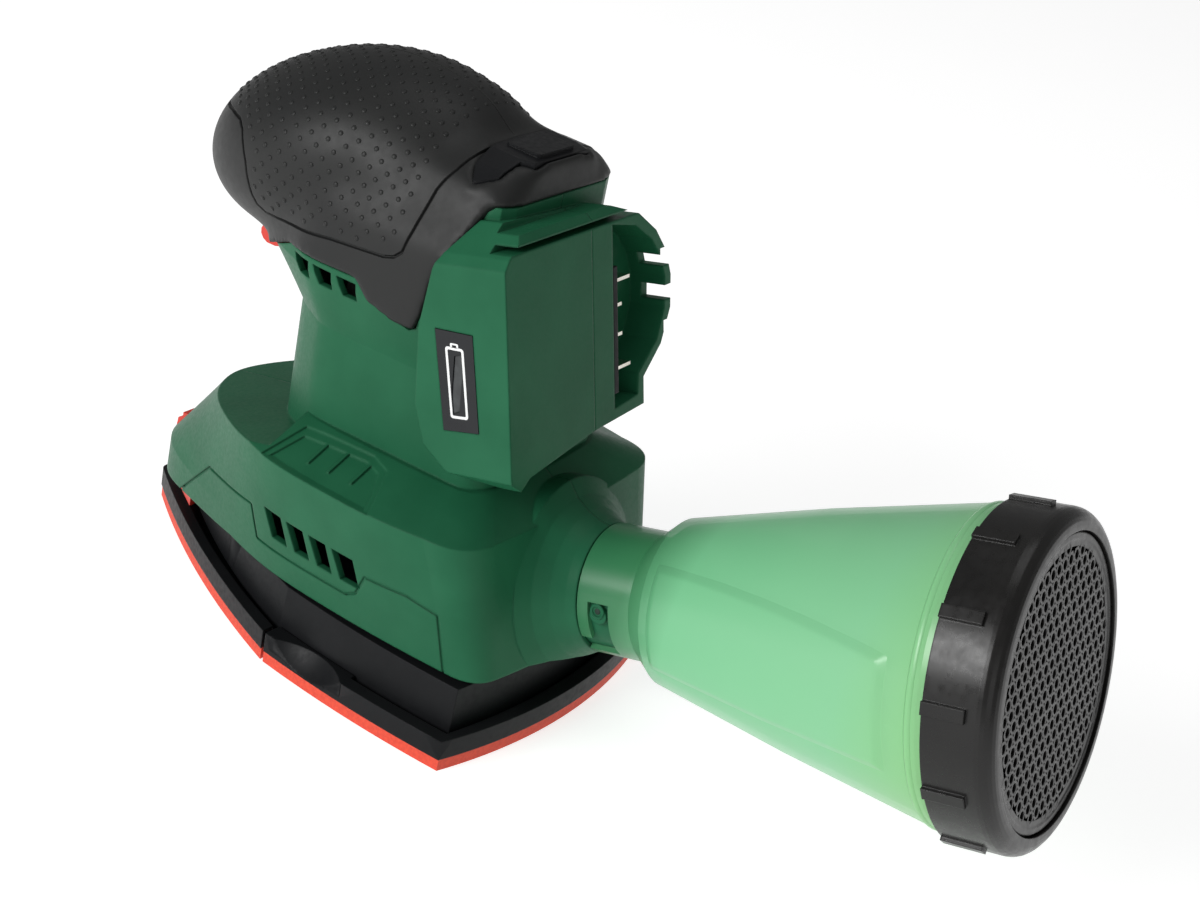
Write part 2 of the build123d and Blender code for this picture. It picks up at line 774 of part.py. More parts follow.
def eccentric():
    """The counterweight with the off-centre pin that drives the plate."""
    disc = upright(16.0, 26.2, 40.0, y=MOTOR_Y) - block(-30, 30, MOTOR_Y + 5.0, 60, 31.0, 50)
    socket = upright(2.53, 34.1, 50.0, y=MOTOR_Y)
    return disc - socket + upright(3.99, 14.0, 26.4, y=MOTOR_Y + ORBIT_R)


# Plate -----------------------------------------------------------------------


def plate_face(gap=0.0, part="all"):
    """Plan of the sanding plate, its rear part or its front tip."""
    w, r = PLATE_W - gap, PLATE_REAR - gap * 0.35
    split = Vector(SPLIT_W - gap, SPLIT_Y)
    corner = Vector(w, r)
    rear = Edge.make_three_point_arc(corner, Vector(0, r + REAR_SAG - gap * 0.65), Vector(-w, r))
    side = Edge.make_three_point_arc(corner, Vector(50.35 - gap, 20.0), split)
    tip_x = 2.6
    tip_y = TIP_Y + 1.6 + gap * 1.6
    flank = Edge.make_three_point_arc(split, Vector(29.3 - gap * 0.93, -47.3), Vector(tip_x, tip_y))
    nose = Edge.make_three_point_arc(
        Vector(tip_x, tip_y), Vector(0, TIP_Y + gap * 1.6), Vector(-tip_x, tip_y)
    )
    if part == "rear":
        cut = Edge.make_line(split, Vector(-split.X, split.Y))
        return Face(Wire([rear, side, cut, side.mirror(Plane.YZ)]))
    if part == "front":
        cut = Edge.make_line(split, Vector(-split.X, split.Y))
        return Face(Wire([flank, nose, flank.mirror(Plane.YZ), cut]))
    return Face(Wire([rear, side, flank, nose, flank.mirror(Plane.YZ), side.mirror(Plane.YZ)]))


REAR_SIDE = block(-70, 70, SPLIT_Y + 0.6, 90, -5, 60)
FRONT_SIDE = block(-70, 70, -120, SPLIT_Y - 0.6, -5, 60)


def hooked_pad(part, keep):
    """One hook-and-loop pad under the plate, slightly inside its edge."""
    face = plate_face(0.3, part)
    return plan_prism(face, 0.0, PAD_T) & keep


def tray(part, keep):
    """A shallow tray: the plate's web with a raised rim."""
    outer = plan_prism(plate_face(0.0, part), PAD_T, RIM_TOP)
    well = plan_prism(plate_face(4.0), PAD_T + FLOOR_T, RIM_TOP + 5)
    return (outer - well) & keep


def scallops():
    """Thumb cut-outs in the rim, just behind the split."""
    return joined([
        upright(22.0, 5.0, 16.0, side * 66.3, 6.0)
        for side in (-1, 1)
    ])


def rear_plate():
    """The rear part of the sanding plate."""
    body = tray("rear", REAR_SIDE)
    return body - scallops() - joined([plate_screw_bore(x, y) for x, y in PLATE_SCREWS])


HINGE_X = (-24, 24)


def front_plate():
    """The springy front tip of the sanding plate, with its hinge knuckles."""
    body = tray("front", FRONT_SIDE)
    knuckles = joined([across(1.25, x - 4, x + 4, SPLIT_Y, FLEX_Z) for x in HINGE_X])
    arms = joined([block(x - 4, x + 4, SPLIT_Y - 2.5, SPLIT_Y, 4.0, 6.4) for x in HINGE_X])
    return joined([body, knuckles, arms]) - hinge_bores(0.85)


def hinge_bores(radius):
    """Bores for the hinge pins."""
    return joined([across(radius, x - 8, x + 8, SPLIT_Y, FLEX_Z) for x in HINGE_X])


def knuckle_room():
    """Room in the rear plate for the front tip's knuckles."""
    return joined([block(x - 4.4, x + 4.4, SPLIT_Y - 1, SPLIT_Y + 2.2, 0, 8) for x in HINGE_X])


def hinge_pins():
    """The two pins the front tip turns on."""
    return joined([across(0.8, x - 7.5, x + 7.5, SPLIT_Y, FLEX_Z) for x in HINGE_X])


PLATE_SCREWS = [(-28.0, 34.0), (28.0, 34.0), (-30.0, 4.0), (30.0, 4.0)]


def plate_screw_bore(x, y):
    """Bore and head pocket for one plate screw."""
    return upright(1.52, 0, 20, x, y) + upright(3.05, PAD_T - 1, PAD_T + 1.6, x, y)


def plate_screws():
    """Countersunk screws that hold the rear plate to the carrier."""
    return joined([
        upright(1.5, 4.0, 13.0, x, y) + upright(2.95, PAD_T + 0.1, PAD_T + 1.5, x, y)
        for x, y in PLATE_SCREWS
    ])


def carrier_body(gap, z0, z1):
    """The tapering carrier between plate and housing."""
    low = plate_face(6.0 + gap)
    high = plate_face(7.8 + gap)
    return loft([Pos(0, 0, z0) * low, Pos(0, 0, z1) * high], ruled=True)


POSTS = [(-27.0, 44.0), (27.0, 44.0), (-24.0, -36.0), (24.0, -36.0)]


def plate_carrier():
    """The black carrier: a deep skirt, a hub for the bearing and four post seats."""
    shell = carrier_body(0.0, 7.0, 20.4) - carrier_body(2.4, 4.0, 17.9)
    hub = upright(14.0, 7.0, 20.4, y=MOTOR_Y + ORBIT_R)
    seats = [upright(5.2, 9.0, 20.4, x, y) for x, y in POSTS]
    studs = [upright(4.2, 6.6, 18.5, x, y) for x, y in PLATE_SCREWS]
    body = joined([shell, hub] + seats + studs)
    body = body - upright(10.98, 12.4, 19.6, y=MOTOR_Y + ORBIT_R)
    body = body - upright(7.0, 19.0, 30, y=MOTOR_Y + ORBIT_R)
    body = body - upright(8.0, 0, 13, y=MOTOR_Y + ORBIT_R)
    body = body - joined([upright(3.6, 13.0, 30, x, y) for x, y in POSTS])
    body = body - joined([upright(1.52, 0, 14, x, y) for x, y in PLATE_SCREWS])
    slope = side_prism([(-35, 20.4), (-95, 12.0), (-95, 40), (-35, 40)], -60, 60)
    flex_room = side_prism([(SPLIT_Y + 3, 6.9), (-95, 11.2), (-95, 0), (SPLIT_Y + 3, 0)], -60, 60)
    duct = along_tube(13.2, -60, -20) & block(-60, 60, 0, 80, 0, 60)
    return body - slope - flex_room - duct - lever_room()


def lever_room():
    """The carrier ends short of the nose, where the catch sits."""
    return block(-60, 60, -120, -71.4, 0, 40)


def flex_lever():
    """The red catch at the nose: a tongue between plate and housing, a stem and a thumb tab."""
    low = plan_prism(Pos(0, 3.4, 0) * plate_face(4.7), 9.0, 11.7)
    high = plan_prism(plate_face(4.7), 11.6, 18.0)
    roof = side_prism([(-95, 13.2), (-95, 40), (-60, 40), (-60, 18.1)], -60, 60)
    tongue = (low + high) & block(-60, 60, -83.6, -71.8, 0, 30)
    stem = block(-3.2, 3.2, -83.2, -80.6, 11.6, 31.2)
    tab = side_prism([(-85.4, 25.2), (-84.9, 28.9), (-82.9, 30.2), (-80.6, 31.2), (-80.6, 24.4)], -3.2, 3.2)
    window = block(-1.6, 1.6, -99, -83.6, 20, 27.6)
    return joined([tongue - roof, stem, tab]) - window


def swing_posts():
    """Four springy posts that keep the plate from turning."""
    return joined([
        upright(3.5, 13.05, 44.0, x, y) - ring_z(3.6, 2.6, 24.0, 38.0, y).moved(Location((x, 0, 0)))
        for x, y in POSTS
    ])


# Dust box --------------------------------------------------------------------


def dust_tube():
    """The outlet tube with its two bayonet lugs."""
    tube = turned([(14.2, -24), (15.9, -24), (15.9, 22), (14.2, 22)])
    for angle in (LUG_ANGLE, LUG_ANGLE + 180):
        lug = TUBE_PLANE * Rot(0, 0, angle) * Pos(16.2, 0, LUG_H) * Rot(0, 90, 0) * Cylinder(2.5, 2.0)
        tube = tube + lug
    return tube


def slot_piece(a0, a1, h0, h1):
    """A piece of ring round the tube between two angles and two heights."""
    ring = turned([(15.0, h0), (19.0, h0), (19.0, h1), (15.0, h1)])
    mid = radians((a0 + a1) / 2)
    span = radians(a1 - a0) / 2
    reach = 30.0
    left = (reach * cos(mid - span), reach * sin(mid - span))
    right = (reach * cos(mid + span), reach * sin(mid + span))
    wedge = Face(Wire.make_polygon([(0, 0, h0 - 1), (*left, h0 - 1), (*right, h0 - 1)], close=True))
    return ring & (TUBE_PLANE * extrude(wedge, amount=h1 - h0 + 2, dir=(0, 0, 1)))


def bayonet_slots():
    """The two L-shaped slots in the dust box's neck."""
    made = []
    for turn in (0, 180):
        made.append(slot_piece(turn + 28, turn + 48, -1.0, 6.0))
        made.append(slot_piece(turn - 9, turn + 48, 3.2, 9.4))
    return joined(made)


def dust_box():
    """The see-through dust box: a neck, a shoulder and a long cone."""
    wall = 1.6
    skin = turned([
        (15.98, 0), (17.4, 0), (17.4, 15.5), (22.3, 21.6), (31.2, 60.0), (40.2, 105.0),
        (40.2, 112.0), (40.2 - wall, 112.0), (40.2 - wall, 105.0), (31.2 - wall, 60.4),
        (22.3 - wall, 22.4), (15.98, 16.4),
    ])
    return skin - bayonet_slots()


def box_cap():
    """The black screw cap with a round rim, twelve grip ribs and a seat for the grille."""
    turn = [radians(15 * k) for k in range(7)]
    rim = [(37.8 + 4.0 * cos(a), 119.8 + 4.0 * sin(a)) for a in turn]
    ring = turned([(40.5, 107.0), (41.8, 107.0)] + rim + [
        (36.6, 123.8), (36.6, 121.3), (35.0, 121.3), (35.0, 119.9), (40.5, 118.5),
    ])
    ribs = joined([
        TUBE_PLANE * Rot(0, 0, -10 + 30 * k) * Pos(41.9, 0, 112.2) * Box(1.8, 3.2, 10.4)
        for k in range(12)
    ])
    return ring + ribs


def cap_grille():
    """The flat end grille."""
    return turned([(0, 121.4), (36.4, 121.4), (36.4, 123.2), (0, 123.2)])


def box_seal():
    """The seal between cap and box."""
    return turned([(38.4, 112.4), (40.3, 112.4), (40.3, 114.2), (38.4, 114.2)])


FOLDS = 24


def filter_element():
    """The pleated filter behind the grille."""
    points = []
    for k in range(2 * FOLDS):
        r = 31.0 if k % 2 == 0 else 26.0
        a = pi * k / FOLDS
        points.append((r * cos(a), r * sin(a), 74.0))
    star = Face(Wire.make_polygon(points, close=True))
    body = extrude(star, amount=40.0, dir=(0, 0, 1)) - Pos(0, 0, 94) * Cylinder(22.0, 44)
    return TUBE_PLANE * body


def filter_frame():
    """The ring and floor that hold the filter in the cap."""
    floor = turned([(0, 72.4), (31.5, 72.4), (31.5, 73.9), (0, 73.9)])
    rim = turned([
        (21.0, 114.1), (34.6, 114.1), (34.6, 121.2), (33.0, 121.2), (33.0, 115.6), (21.0, 115.6),
    ])
    return floor + rim


# Everything ------------------------------------------------------------------


def main():
    """Write every node."""
    housing = build_housing()
    save(half(housing, 1), "housing_left")
    save(half(housing, -1), "housing_right")
    grip = build_grip()
    save(half(grip, 1), "grip_left")
    save(half(grip, -1), "grip_right")
    pin_y = MOTOR_Y + ORBIT_R
    nodes = {
        "housing_screws": housing_screws(),
        "top_tile": top_tile(),
        "charge_panel": charge_panel(),
        "charge_lamps": charge_lamps(),
        "switch_button": switch_button(),
        "switch_body": switch_body(),
        "terminal_block": terminal_block(),
        "terminal_blades": terminal_blades(),
        "control_board": control_board(),
        "motor_mount": motor_mount(),
        "motor_can": motor_can(),
        "motor_magnets": motor_magnets(),
        "motor_end": motor_end(),
        "upper_bearing": ring_z(5.5, 2.53, CAN_Z1 + 1.0, CAN_Z1 + 5.0),
        "lower_bearing": ring_z(7.0, 2.53, MOUNT_Z + 0.1, MOUNT_Z + 4.5),
        "rotor": rotor(),
        "armature_windings": armature_windings(),
        "fan": fan(),
        "eccentric": eccentric(),
        "plate_bearing": ring_z(10.95, 4.05, 12.5, 19.5, pin_y),
        "plate_carrier": plate_carrier(),
        "rear_plate": rear_plate() - knuckle_room() - hinge_bores(0.82),
        "front_plate": front_plate(),
        "hinge_pins": hinge_pins(),
        "rear_pad": hooked_pad("rear", REAR_SIDE),
        "front_pad": hooked_pad("front", FRONT_SIDE),
        "plate_screws": plate_screws(),
        "flex_lever": flex_lever(),
        "swing_posts": swing_posts(),
        "dust_tube": dust_tube(),
        "dust_box": dust_box(),
        "box_cap": box_cap(),
        "cap_grille": cap_grille(),
        "box_seal": box_seal(),
        "filter_element": filter_element(),
        "filter_frame": filter_frame(),
    }
    for node, shape in nodes.items():
        save(shape, node)


main()
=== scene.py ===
"""Looks of the cordless detail sander: materials, soft grip, grille, small trims, light and camera."""

from math import atan2, cos, pi, radians, sin

import bmesh
import bpy
import numpy as np
from mathutils import Matrix, Vector
from mathutils.bvhtree import BVHTree


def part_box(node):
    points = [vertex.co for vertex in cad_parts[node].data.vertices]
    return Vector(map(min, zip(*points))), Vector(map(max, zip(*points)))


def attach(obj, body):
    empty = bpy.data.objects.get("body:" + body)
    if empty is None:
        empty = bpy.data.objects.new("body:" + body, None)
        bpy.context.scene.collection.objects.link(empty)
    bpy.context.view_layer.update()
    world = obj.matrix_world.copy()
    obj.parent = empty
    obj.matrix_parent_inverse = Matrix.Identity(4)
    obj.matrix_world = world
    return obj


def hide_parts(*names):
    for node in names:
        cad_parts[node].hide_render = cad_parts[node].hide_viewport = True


MM = 0.001

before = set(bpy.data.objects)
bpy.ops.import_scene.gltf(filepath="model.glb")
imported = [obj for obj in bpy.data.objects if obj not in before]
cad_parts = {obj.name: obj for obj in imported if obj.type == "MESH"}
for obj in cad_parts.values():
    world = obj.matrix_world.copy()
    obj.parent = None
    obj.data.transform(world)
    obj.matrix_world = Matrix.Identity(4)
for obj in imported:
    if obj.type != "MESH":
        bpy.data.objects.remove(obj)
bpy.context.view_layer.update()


# Geometry the looks share with the model, in millimetres ----------------------

# The groove round the dimpled grip panel, as (Y, Z) seen from the side.
PANEL_LINE = [
    (-85.0, 133.8), (-67.2, 134.8), (-61.0, 136.0), (-54.5, 136.2), (-51.5, 134.6), (-49.4, 131.6),
    (-47.1, 127.6), (-45.9, 123.0), (-45.0, 119.0), (-43.9, 116.4), (-41.4, 114.9), (-37.0, 115.0),
    (-31.9, 115.7), (-15.1, 118.4), (1.8, 119.9), (5.0, 120.9), (7.2, 123.0), (8.3, 128.5),
    (9.0, 134.5), (9.6, 139.0), (10.8, 142.0), (12.2, 144.6), (13.0, 147.0), (14.2, 149.6), (15.2, 153.0),
    (15.2, 165.0),
]
# The top tile's outline in plan, as (X, Y) on one side.
TILE = [
    (0, 27.3), (12.3, 27.3), (13.8, 23.8), (21.5, 23.4), (25.3, 18.2), (21.0, 15.2), (10.0, 13.2), (0, 12.8),
]
# The grip's lower and rear boundary, as (Y, Z) seen from the side.
GRIP_EDGE = [
    (-60.0, 96.5), (-43.0, 104.5), (-31.0, 110.4), (-6.0, 111.0), (-1.5, 106.4), (11.5, 103.0),
    (14.0, 104.6), (15.8, 110.0), (17.3, 121.0), (20.0, 126.0), (24.5, 138.2), (26.2, 139.9), (40.0, 139.9),
]
# The dust tube: a point on its axis, and the axis's tilt above the rear horizontal.
TUBE_O = (0.0, 67.3, 41.9)
TUBE_TILT = radians(14.7)
# The dust box outside, as (along, radius) points.
BOX_PROFILE = [(15.5, 17.4), (21.6, 22.3), (60.0, 31.2), (105.0, 40.2)]
# The charge display's corners on the dock's left side, as (Y, Z): the top's front and rear, then the
# bottom's rear and front.
LABEL = [(23.2, 109.8), (34.4, 112.1), (41.3, 88.0), (30.9, 84.8)]


# Materials -------------------------------------------------------------------


class Paint:
    """A node-based material built step by step."""

    def __init__(self, name, colour, roughness, metallic=0.0):
        self.material = bpy.data.materials.new(name)
        self.material.use_nodes = True
        self.nodes = self.material.node_tree.nodes
        self.links = self.material.node_tree.links
        self.shader = self.nodes["Principled BSDF"]
        self.shader.inputs["Base Color"].default_value = (*colour, 1.0)
        self.shader.inputs["Roughness"].default_value = roughness
        self.shader.inputs["Metallic"].default_value = metallic
        self.colour = colour
        self.place = self.nodes.new("ShaderNodeTexCoord").outputs["Object"]
        self.normal = None

    def set(self, **values):
        """Set constant values on the shader's own sockets."""
        for socket, value in values.items():
            self.shader.inputs[socket.replace("_", " ")].default_value = value
        return self

    def noise(self, scale, detail=3.0, stretch=(1, 1, 1)):
        """A noise value over the surface; scale is in features per metre."""
        mapping = self.nodes.new("ShaderNodeMapping")
        mapping.inputs["Scale"].default_value = stretch
        self.links.new(self.place, mapping.inputs["Vector"])
        noise = self.nodes.new("ShaderNodeTexNoise")
        noise.inputs["Scale"].default_value = scale
        noise.inputs["Detail"].default_value = detail
        self.links.new(mapping.outputs["Vector"], noise.inputs["Vector"])
        return noise.outputs["Fac"]

    def tone(self, other, scale):
        """Blend the base colour softly towards another over the surface."""
        ramp = self.nodes.new("ShaderNodeValToRGB")
        ramp.color_ramp.elements[0].position = 0.35
        ramp.color_ramp.elements[0].color = (*self.colour, 1.0)
        ramp.color_ramp.elements[1].position = 0.65
        ramp.color_ramp.elements[1].color = (*other, 1.0)
        self.links.new(self.noise(scale), ramp.inputs["Fac"])
        self.links.new(ramp.outputs["Color"], self.shader.inputs["Base Color"])
        return self

    def gloss_range(self, low, high, scale):
        """Let the roughness wander between two values."""
        spread = self.nodes.new("ShaderNodeMapRange")
        spread.inputs["From Min"].default_value = 0.3
        spread.inputs["From Max"].default_value = 0.7
        spread.inputs["To Min"].default_value = low
        spread.inputs["To Max"].default_value = high
        self.links.new(self.noise(scale), spread.inputs["Value"])
        self.links.new(spread.outputs["Result"], self.shader.inputs["Roughness"])
        return self

    def grain(self, scale, strength, depth=0.0001, stretch=(1, 1, 1), detail=2.0):
        """Fine relief from noise, on top of any relief already there."""
        bump = self.nodes.new("ShaderNodeBump")
        bump.inputs["Strength"].default_value = strength
        bump.inputs["Distance"].default_value = depth
        self.links.new(self.noise(scale, detail, stretch), bump.inputs["Height"])
        if self.normal is not None:
            self.links.new(self.normal, bump.inputs["Normal"])
        self.normal = bump.outputs["Normal"]
        self.links.new(self.normal, self.shader.inputs["Normal"])
        return self

    def along_axis(self, stops, start, end):
        """Shade the base colour through stops from one Y to a further one, in metres."""
        parts = self.nodes.new("ShaderNodeSeparateXYZ")
        self.links.new(self.place, parts.inputs["Vector"])
        reach = self.nodes.new("ShaderNodeMapRange")
        reach.inputs["From Min"].default_value = start
        reach.inputs["From Max"].default_value = end
        self.links.new(parts.outputs["Y"], reach.inputs["Value"])
        ramp = self.nodes.new("ShaderNodeValToRGB")
        ramp.color_ramp.elements[0].color = (*self.colour, 1.0)
        ramp.color_ramp.elements[1].color = (*stops[-1][1], 1.0)
        for place, colour in stops[:-1]:
            ramp.color_ramp.elements.new(place).color = (*colour, 1.0)
        self.links.new(reach.outputs["Result"], ramp.inputs["Fac"])
        self.links.new(ramp.outputs["Color"], self.shader.inputs["Base Color"])
        return self

    def soft_edges(self, radius):
        """Round the shading over sharp edges."""
        bevel = self.nodes.new("ShaderNodeBevel")
        bevel.inputs["Radius"].default_value = radius
        self.normal = bevel.outputs["Normal"]
        self.links.new(self.normal, self.shader.inputs["Normal"])
        return self


def shell_paints():
    """The plastics of the tool's outside."""
    return {
        "green": Paint("moulded_green", (0.0125, 0.100, 0.046), 0.42)
        .soft_edges(0.0009).tone((0.016, 0.115, 0.054), 60).gloss_range(0.36, 0.47, 900)
        .grain(2600, 0.28, 0.00006).set(Specular_IOR_Level=0.12),
        "grip": Paint("soft_grip", (0.0125, 0.0130, 0.0130), 0.5)
        .tone((0.0140, 0.0145, 0.0140), 40).gloss_range(0.45, 0.51, 500).grain(3200, 0.30, 0.00005)
        .set(Specular_IOR_Level=0.27),
        "black": Paint("satin_black", (0.0075, 0.0080, 0.0090), 0.42)
        .soft_edges(0.0005).tone((0.0095, 0.0100, 0.0110), 80).gloss_range(0.34, 0.48, 700)
        .grain(2400, 0.18, 0.00005).set(Specular_IOR_Level=0.12),
        "cap": Paint("cap_black", (0.0065, 0.0062, 0.0060), 0.28)
        .soft_edges(0.0005).tone((0.009, 0.0085, 0.008), 60).gloss_range(0.24, 0.36, 420)
        .grain(1500, 0.12, 0.00005, stretch=(1, 1, 0.2)).set(Specular_IOR_Level=0.34),
        "red": Paint("signal_red", (0.60, 0.030, 0.016), 0.38)
        .soft_edges(0.0005).tone((0.66, 0.040, 0.020), 120).grain(2400, 0.2, 0.00005),
        "groove": Paint("groove_shadow", (0.006, 0.022, 0.013), 0.7)
        .tone((0.008, 0.028, 0.016), 300).grain(2000, 0.1),
    }


def box_paint():
    """The see-through plastic of the dust box, with painted shade that darkens it towards its neck."""
    # Painted shade: the first, darkest stops darken the neck end of the box; the last stop turns yellower
    # towards the cap.
    stops_with_neck_shade = [
        (0.10, (0.05, 0.24, 0.10)), (0.26, (0.21, 0.60, 0.31)), (0.70, (0.25, 0.62, 0.33)),
        (1.0, (0.27, 0.60, 0.22)),
    ]
    # The base colour is the ramp's first stop, the darkest painted shade, at the neck.
    paint = Paint("see_through_green", (0.040, 0.210, 0.090), 0.28).grain(900, 0.10, 0.00008)
    return paint.along_axis(stops_with_neck_shade, 0.067, 0.182).set(Alpha=0.74)


def trim_paints():
    """The charge display, its print, the pads and the filter."""
    return {
        "glass_black": Paint("display_cover", (0.008, 0.009, 0.011), 0.22)
        .tone((0.010, 0.011, 0.013), 150).grain(2000, 0.05).set(Specular_IOR_Level=0.3),
        "lamp": Paint("lamp_window", (0.020, 0.022, 0.024), 0.12).tone((0.035, 0.040, 0.042), 400),
        "white": Paint("printed_white", (0.80, 0.81, 0.80), 0.45)
        .tone((0.76, 0.77, 0.77), 300).grain(2500, 0.1),
        "pad": Paint("hook_pad_red", (0.72, 0.060, 0.022), 0.6)
        .tone((0.62, 0.045, 0.018), 900).grain(2600, 0.7, 0.0002, stretch=(1, 1, 0.5), detail=5),
        "clear": box_paint(),
        "fleece": Paint("filter_fleece", (0.050, 0.050, 0.046), 0.9)
        .tone((0.070, 0.070, 0.064), 500).grain(2600, 0.8, 0.0002, detail=6),
    }


def inner_paints():
    """The metals, board and plain plastic of the inside."""
    return {
        "steel": Paint("plated_steel", (0.50, 0.49, 0.46), 0.32, 1.0)
        .tone((0.60, 0.59, 0.55), 300).grain(2500, 0.15, 0.00004, stretch=(1, 6, 1)),
        "blade": Paint("contact_metal", (0.72, 0.69, 0.60), 0.26, 1.0)
        .tone((0.80, 0.78, 0.70), 500).grain(3000, 0.2, 0.00004, stretch=(6, 1, 1)),
        "iron": Paint("dark_iron", (0.10, 0.10, 0.105), 0.5, 0.7)
        .tone((0.14, 0.14, 0.14), 300).grain(1800, 0.3),
        "copper": Paint("copper_wire", (0.65, 0.28, 0.12), 0.35, 1.0)
        .tone((0.72, 0.34, 0.16), 600).grain(2200, 0.5, stretch=(1, 1, 5)),
        "board": Paint("circuit_board", (0.02, 0.12, 0.05), 0.4)
        .tone((0.03, 0.16, 0.07), 700).grain(1500, 0.3),
        "grey": Paint("dark_grey_plastic", (0.05, 0.05, 0.055), 0.45)
        .tone((0.07, 0.07, 0.075), 200).grain(1900, 0.2),
    }


def make_materials():
    """Every material of the tool, by name."""
    made = {**shell_paints(), **trim_paints(), **inner_paints()}
    return {name: paint.material for name, paint in made.items()}


NODE_PAINT = {
    "green": ("housing_left", "housing_right", "dust_tube"),
    "black": (
        "top_tile", "switch_body", "terminal_block", "motor_end", "plate_carrier", "rear_plate",
        "front_plate",
    ),
    "cap": ("box_cap",),
    "glass_black": ("charge_panel",),
    "lamp": ("charge_lamps",),
    "red": ("switch_button", "flex_lever"),
    "pad": ("rear_pad", "front_pad"),
    "clear": ("dust_box",),
    "steel": (
        "housing_screws", "plate_screws", "hinge_pins", "motor_can", "upper_bearing", "lower_bearing",
        "plate_bearing", "rotor",
    ),
    "blade": ("terminal_blades",),
    "iron": ("motor_magnets", "eccentric"),
    "copper": ("armature_windings",),
    "board": ("control_board",),
    "grey": ("motor_mount", "fan", "filter_frame", "swing_posts", "box_seal"),
    "fleece": ("filter_element",),
}


def dress(obj, material):
    """Give an object one material."""
    if not obj.material_slots:
        obj.data.materials.append(material)
    for slot in obj.material_slots:
        slot.material = material


def round_edges(obj, width):
    """Break an object's sharp edges with a small chamfer that shades as a curve."""
    bevel = obj.modifiers.new("edge_break", "BEVEL")
    bevel.width = width
    bevel.segments = 2
    bevel.limit_method = "ANGLE"
    bevel.angle_limit = radians(34)
    bevel.harden_normals = True


def dress_frame(materials):
    """Dress every node that is carried over from the model."""
    for name, nodes in NODE_PAINT.items():
        for node in nodes:
            dress(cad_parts[node], materials[name])


# Mesh helpers ----------------------------------------------------------------


def solid_mesh(name, vertices, faces):
    """A mesh from points in millimetres, with its faces turned outwards."""
    mesh = bpy.data.meshes.new(name)
    mesh.from_pydata([Vector(v) * MM for v in vertices], [], faces)
    mesh.validate()
    work = bmesh.new()
    work.from_mesh(mesh)
    bmesh.ops.recalc_face_normals(work, faces=work.faces)
    work.to_mesh(mesh)
    work.free()
    return mesh


def placed(name, data):
    """A new object in the scene, from a mesh, a light or a camera."""
    obj = bpy.data.objects.new(name, data)
    bpy.context.scene.collection.objects.link(obj)
    return obj


def new_piece(name, body, slot, material, vertices, faces, smooth=True):
    """A mesh piece in millimetres that rides on a body."""
    mesh = solid_mesh(name, vertices, faces)
    for polygon in mesh.polygons:
        polygon.use_smooth = smooth
    obj = placed(name, mesh)
    dress(obj, material)
    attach(obj, body)
    return obj


def evaluated_mesh(obj):
    """The object's mesh with its modifiers applied."""
    graph = bpy.context.evaluated_depsgraph_get()
    return bpy.data.meshes.new_from_object(obj.evaluated_get(graph))


def joined_mesh(nodes):
    """The meshes of several nodes as one, in metres."""
    work = bmesh.new()
    for node in nodes:
        work.from_mesh(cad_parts[node].data)
    mesh = bpy.data.meshes.new("joined")
    work.to_mesh(mesh)
    work.free()
    return mesh


def pulled_faces(count):
    """Faces of an outline of count points pulled to a second one, both ends closed."""
    faces = [(k, (k + 1) % count, count + (k + 1) % count, count + k) for k in range(count)]
    return faces + [tuple(range(count)), tuple(reversed(range(count, 2 * count)))]


def bar_loop(points, radius, sides=8):
    """Vertices and faces of a round bar along a closed loop of points."""
    vertices, faces = [], []
    count = len(points)
    aside = Vector((0.31, 0.17, 0.94))
    for i, point in enumerate(points):
        run = (points[(i + 1) % count] - points[i - 1]).normalized()
        side = run.cross(aside).normalized()
        other = run.cross(side)
        for k in range(sides):
            turn = 2 * pi * k / sides
            vertices.append(point + (side * cos(turn) + other * sin(turn)) * radius)
    for i in range(count):
        a, b = i * sides, ((i + 1) % count) * sides
        faces += [(a + k, a + (k + 1) % sides, b + (k + 1) % sides, b + k) for k in range(sides)]
    return vertices, faces


def merged(parts):
    """One (vertices, faces) pair from several."""
    vertices, faces = [], []
    for some_vertices, some_faces in parts:
        base = len(vertices)
        vertices += some_vertices
        faces += [tuple(i + base for i in face) for face in some_faces]
    return vertices, faces


def tube_point(radius, angle, along):
    """A point at an angle round the dust tube's axis, from +X downwards."""
    x, y, z = radius * cos(angle), -radius * sin(angle), along
    c, s = cos(TUBE_TILT), sin(TUBE_TILT)
    return Vector((TUBE_O[0] + x, TUBE_O[1] + z * c - y * s, TUBE_O[2] + z * s + y * c))


# Sanding plate ---------------------------------------------------------------

# Points on the plate's edge, as (X, Y) on one side: the rear part's side, then the front tip's flank.
REAR_EDGE = [(51.0, 55.0), (50.35, 20.0), (47.3, -8.5)]
TIP_EDGE = [(47.3, -8.5), (29.3, -47.3), (2.6, -88.9)]
RIM_LOW, RIM_TOP = 4.0, 9.2
# The thumb hollow: the sphere that cuts it, and the stretch in Y and inward reach of the wider rim behind it.
THUMB_AT = (64.8, 6.5, 21.6)
THUMB_R = 23.8
PAD_Y = (-7.8, 21.0)
PAD_W = 5.6
FLUSH = 0.02                # how far the added rim stays inside the plate's own faces
# The nose band: its rear and front ends and its point in Y, how far its sides lie in from the plate's edge,
# its underside, and its top as the height at y = -95 and the rise per millimetre.
BAND_Y = (-65.6, -85.4)
BAND_POINT = -86.6
BAND_IN = (2.3, 5.6)
BAND_LOW = 11.7
BAND_TOP, BAND_RISE = 13.1, 0.14


def edge_at(points, y):
    """Half width at y on the circle through three points of the plate's edge."""
    (ax, ay), (bx, by), (cx, cy) = points
    turn = 2 * (ax * (by - cy) + bx * (cy - ay) + cx * (ay - by))
    a, b, c = ax * ax + ay * ay, bx * bx + by * by, cx * cx + cy * cy
    mid_x = (a * (by - cy) + b * (cy - ay) + c * (ay - by)) / turn
    mid_y = (a * (cx - bx) + b * (ax - cx) + c * (bx - ax)) / turn
    reach = ((ax - mid_x) ** 2 + (ay - mid_y) ** 2 - (y - mid_y) ** 2) ** 0.5
    return mid_x + reach


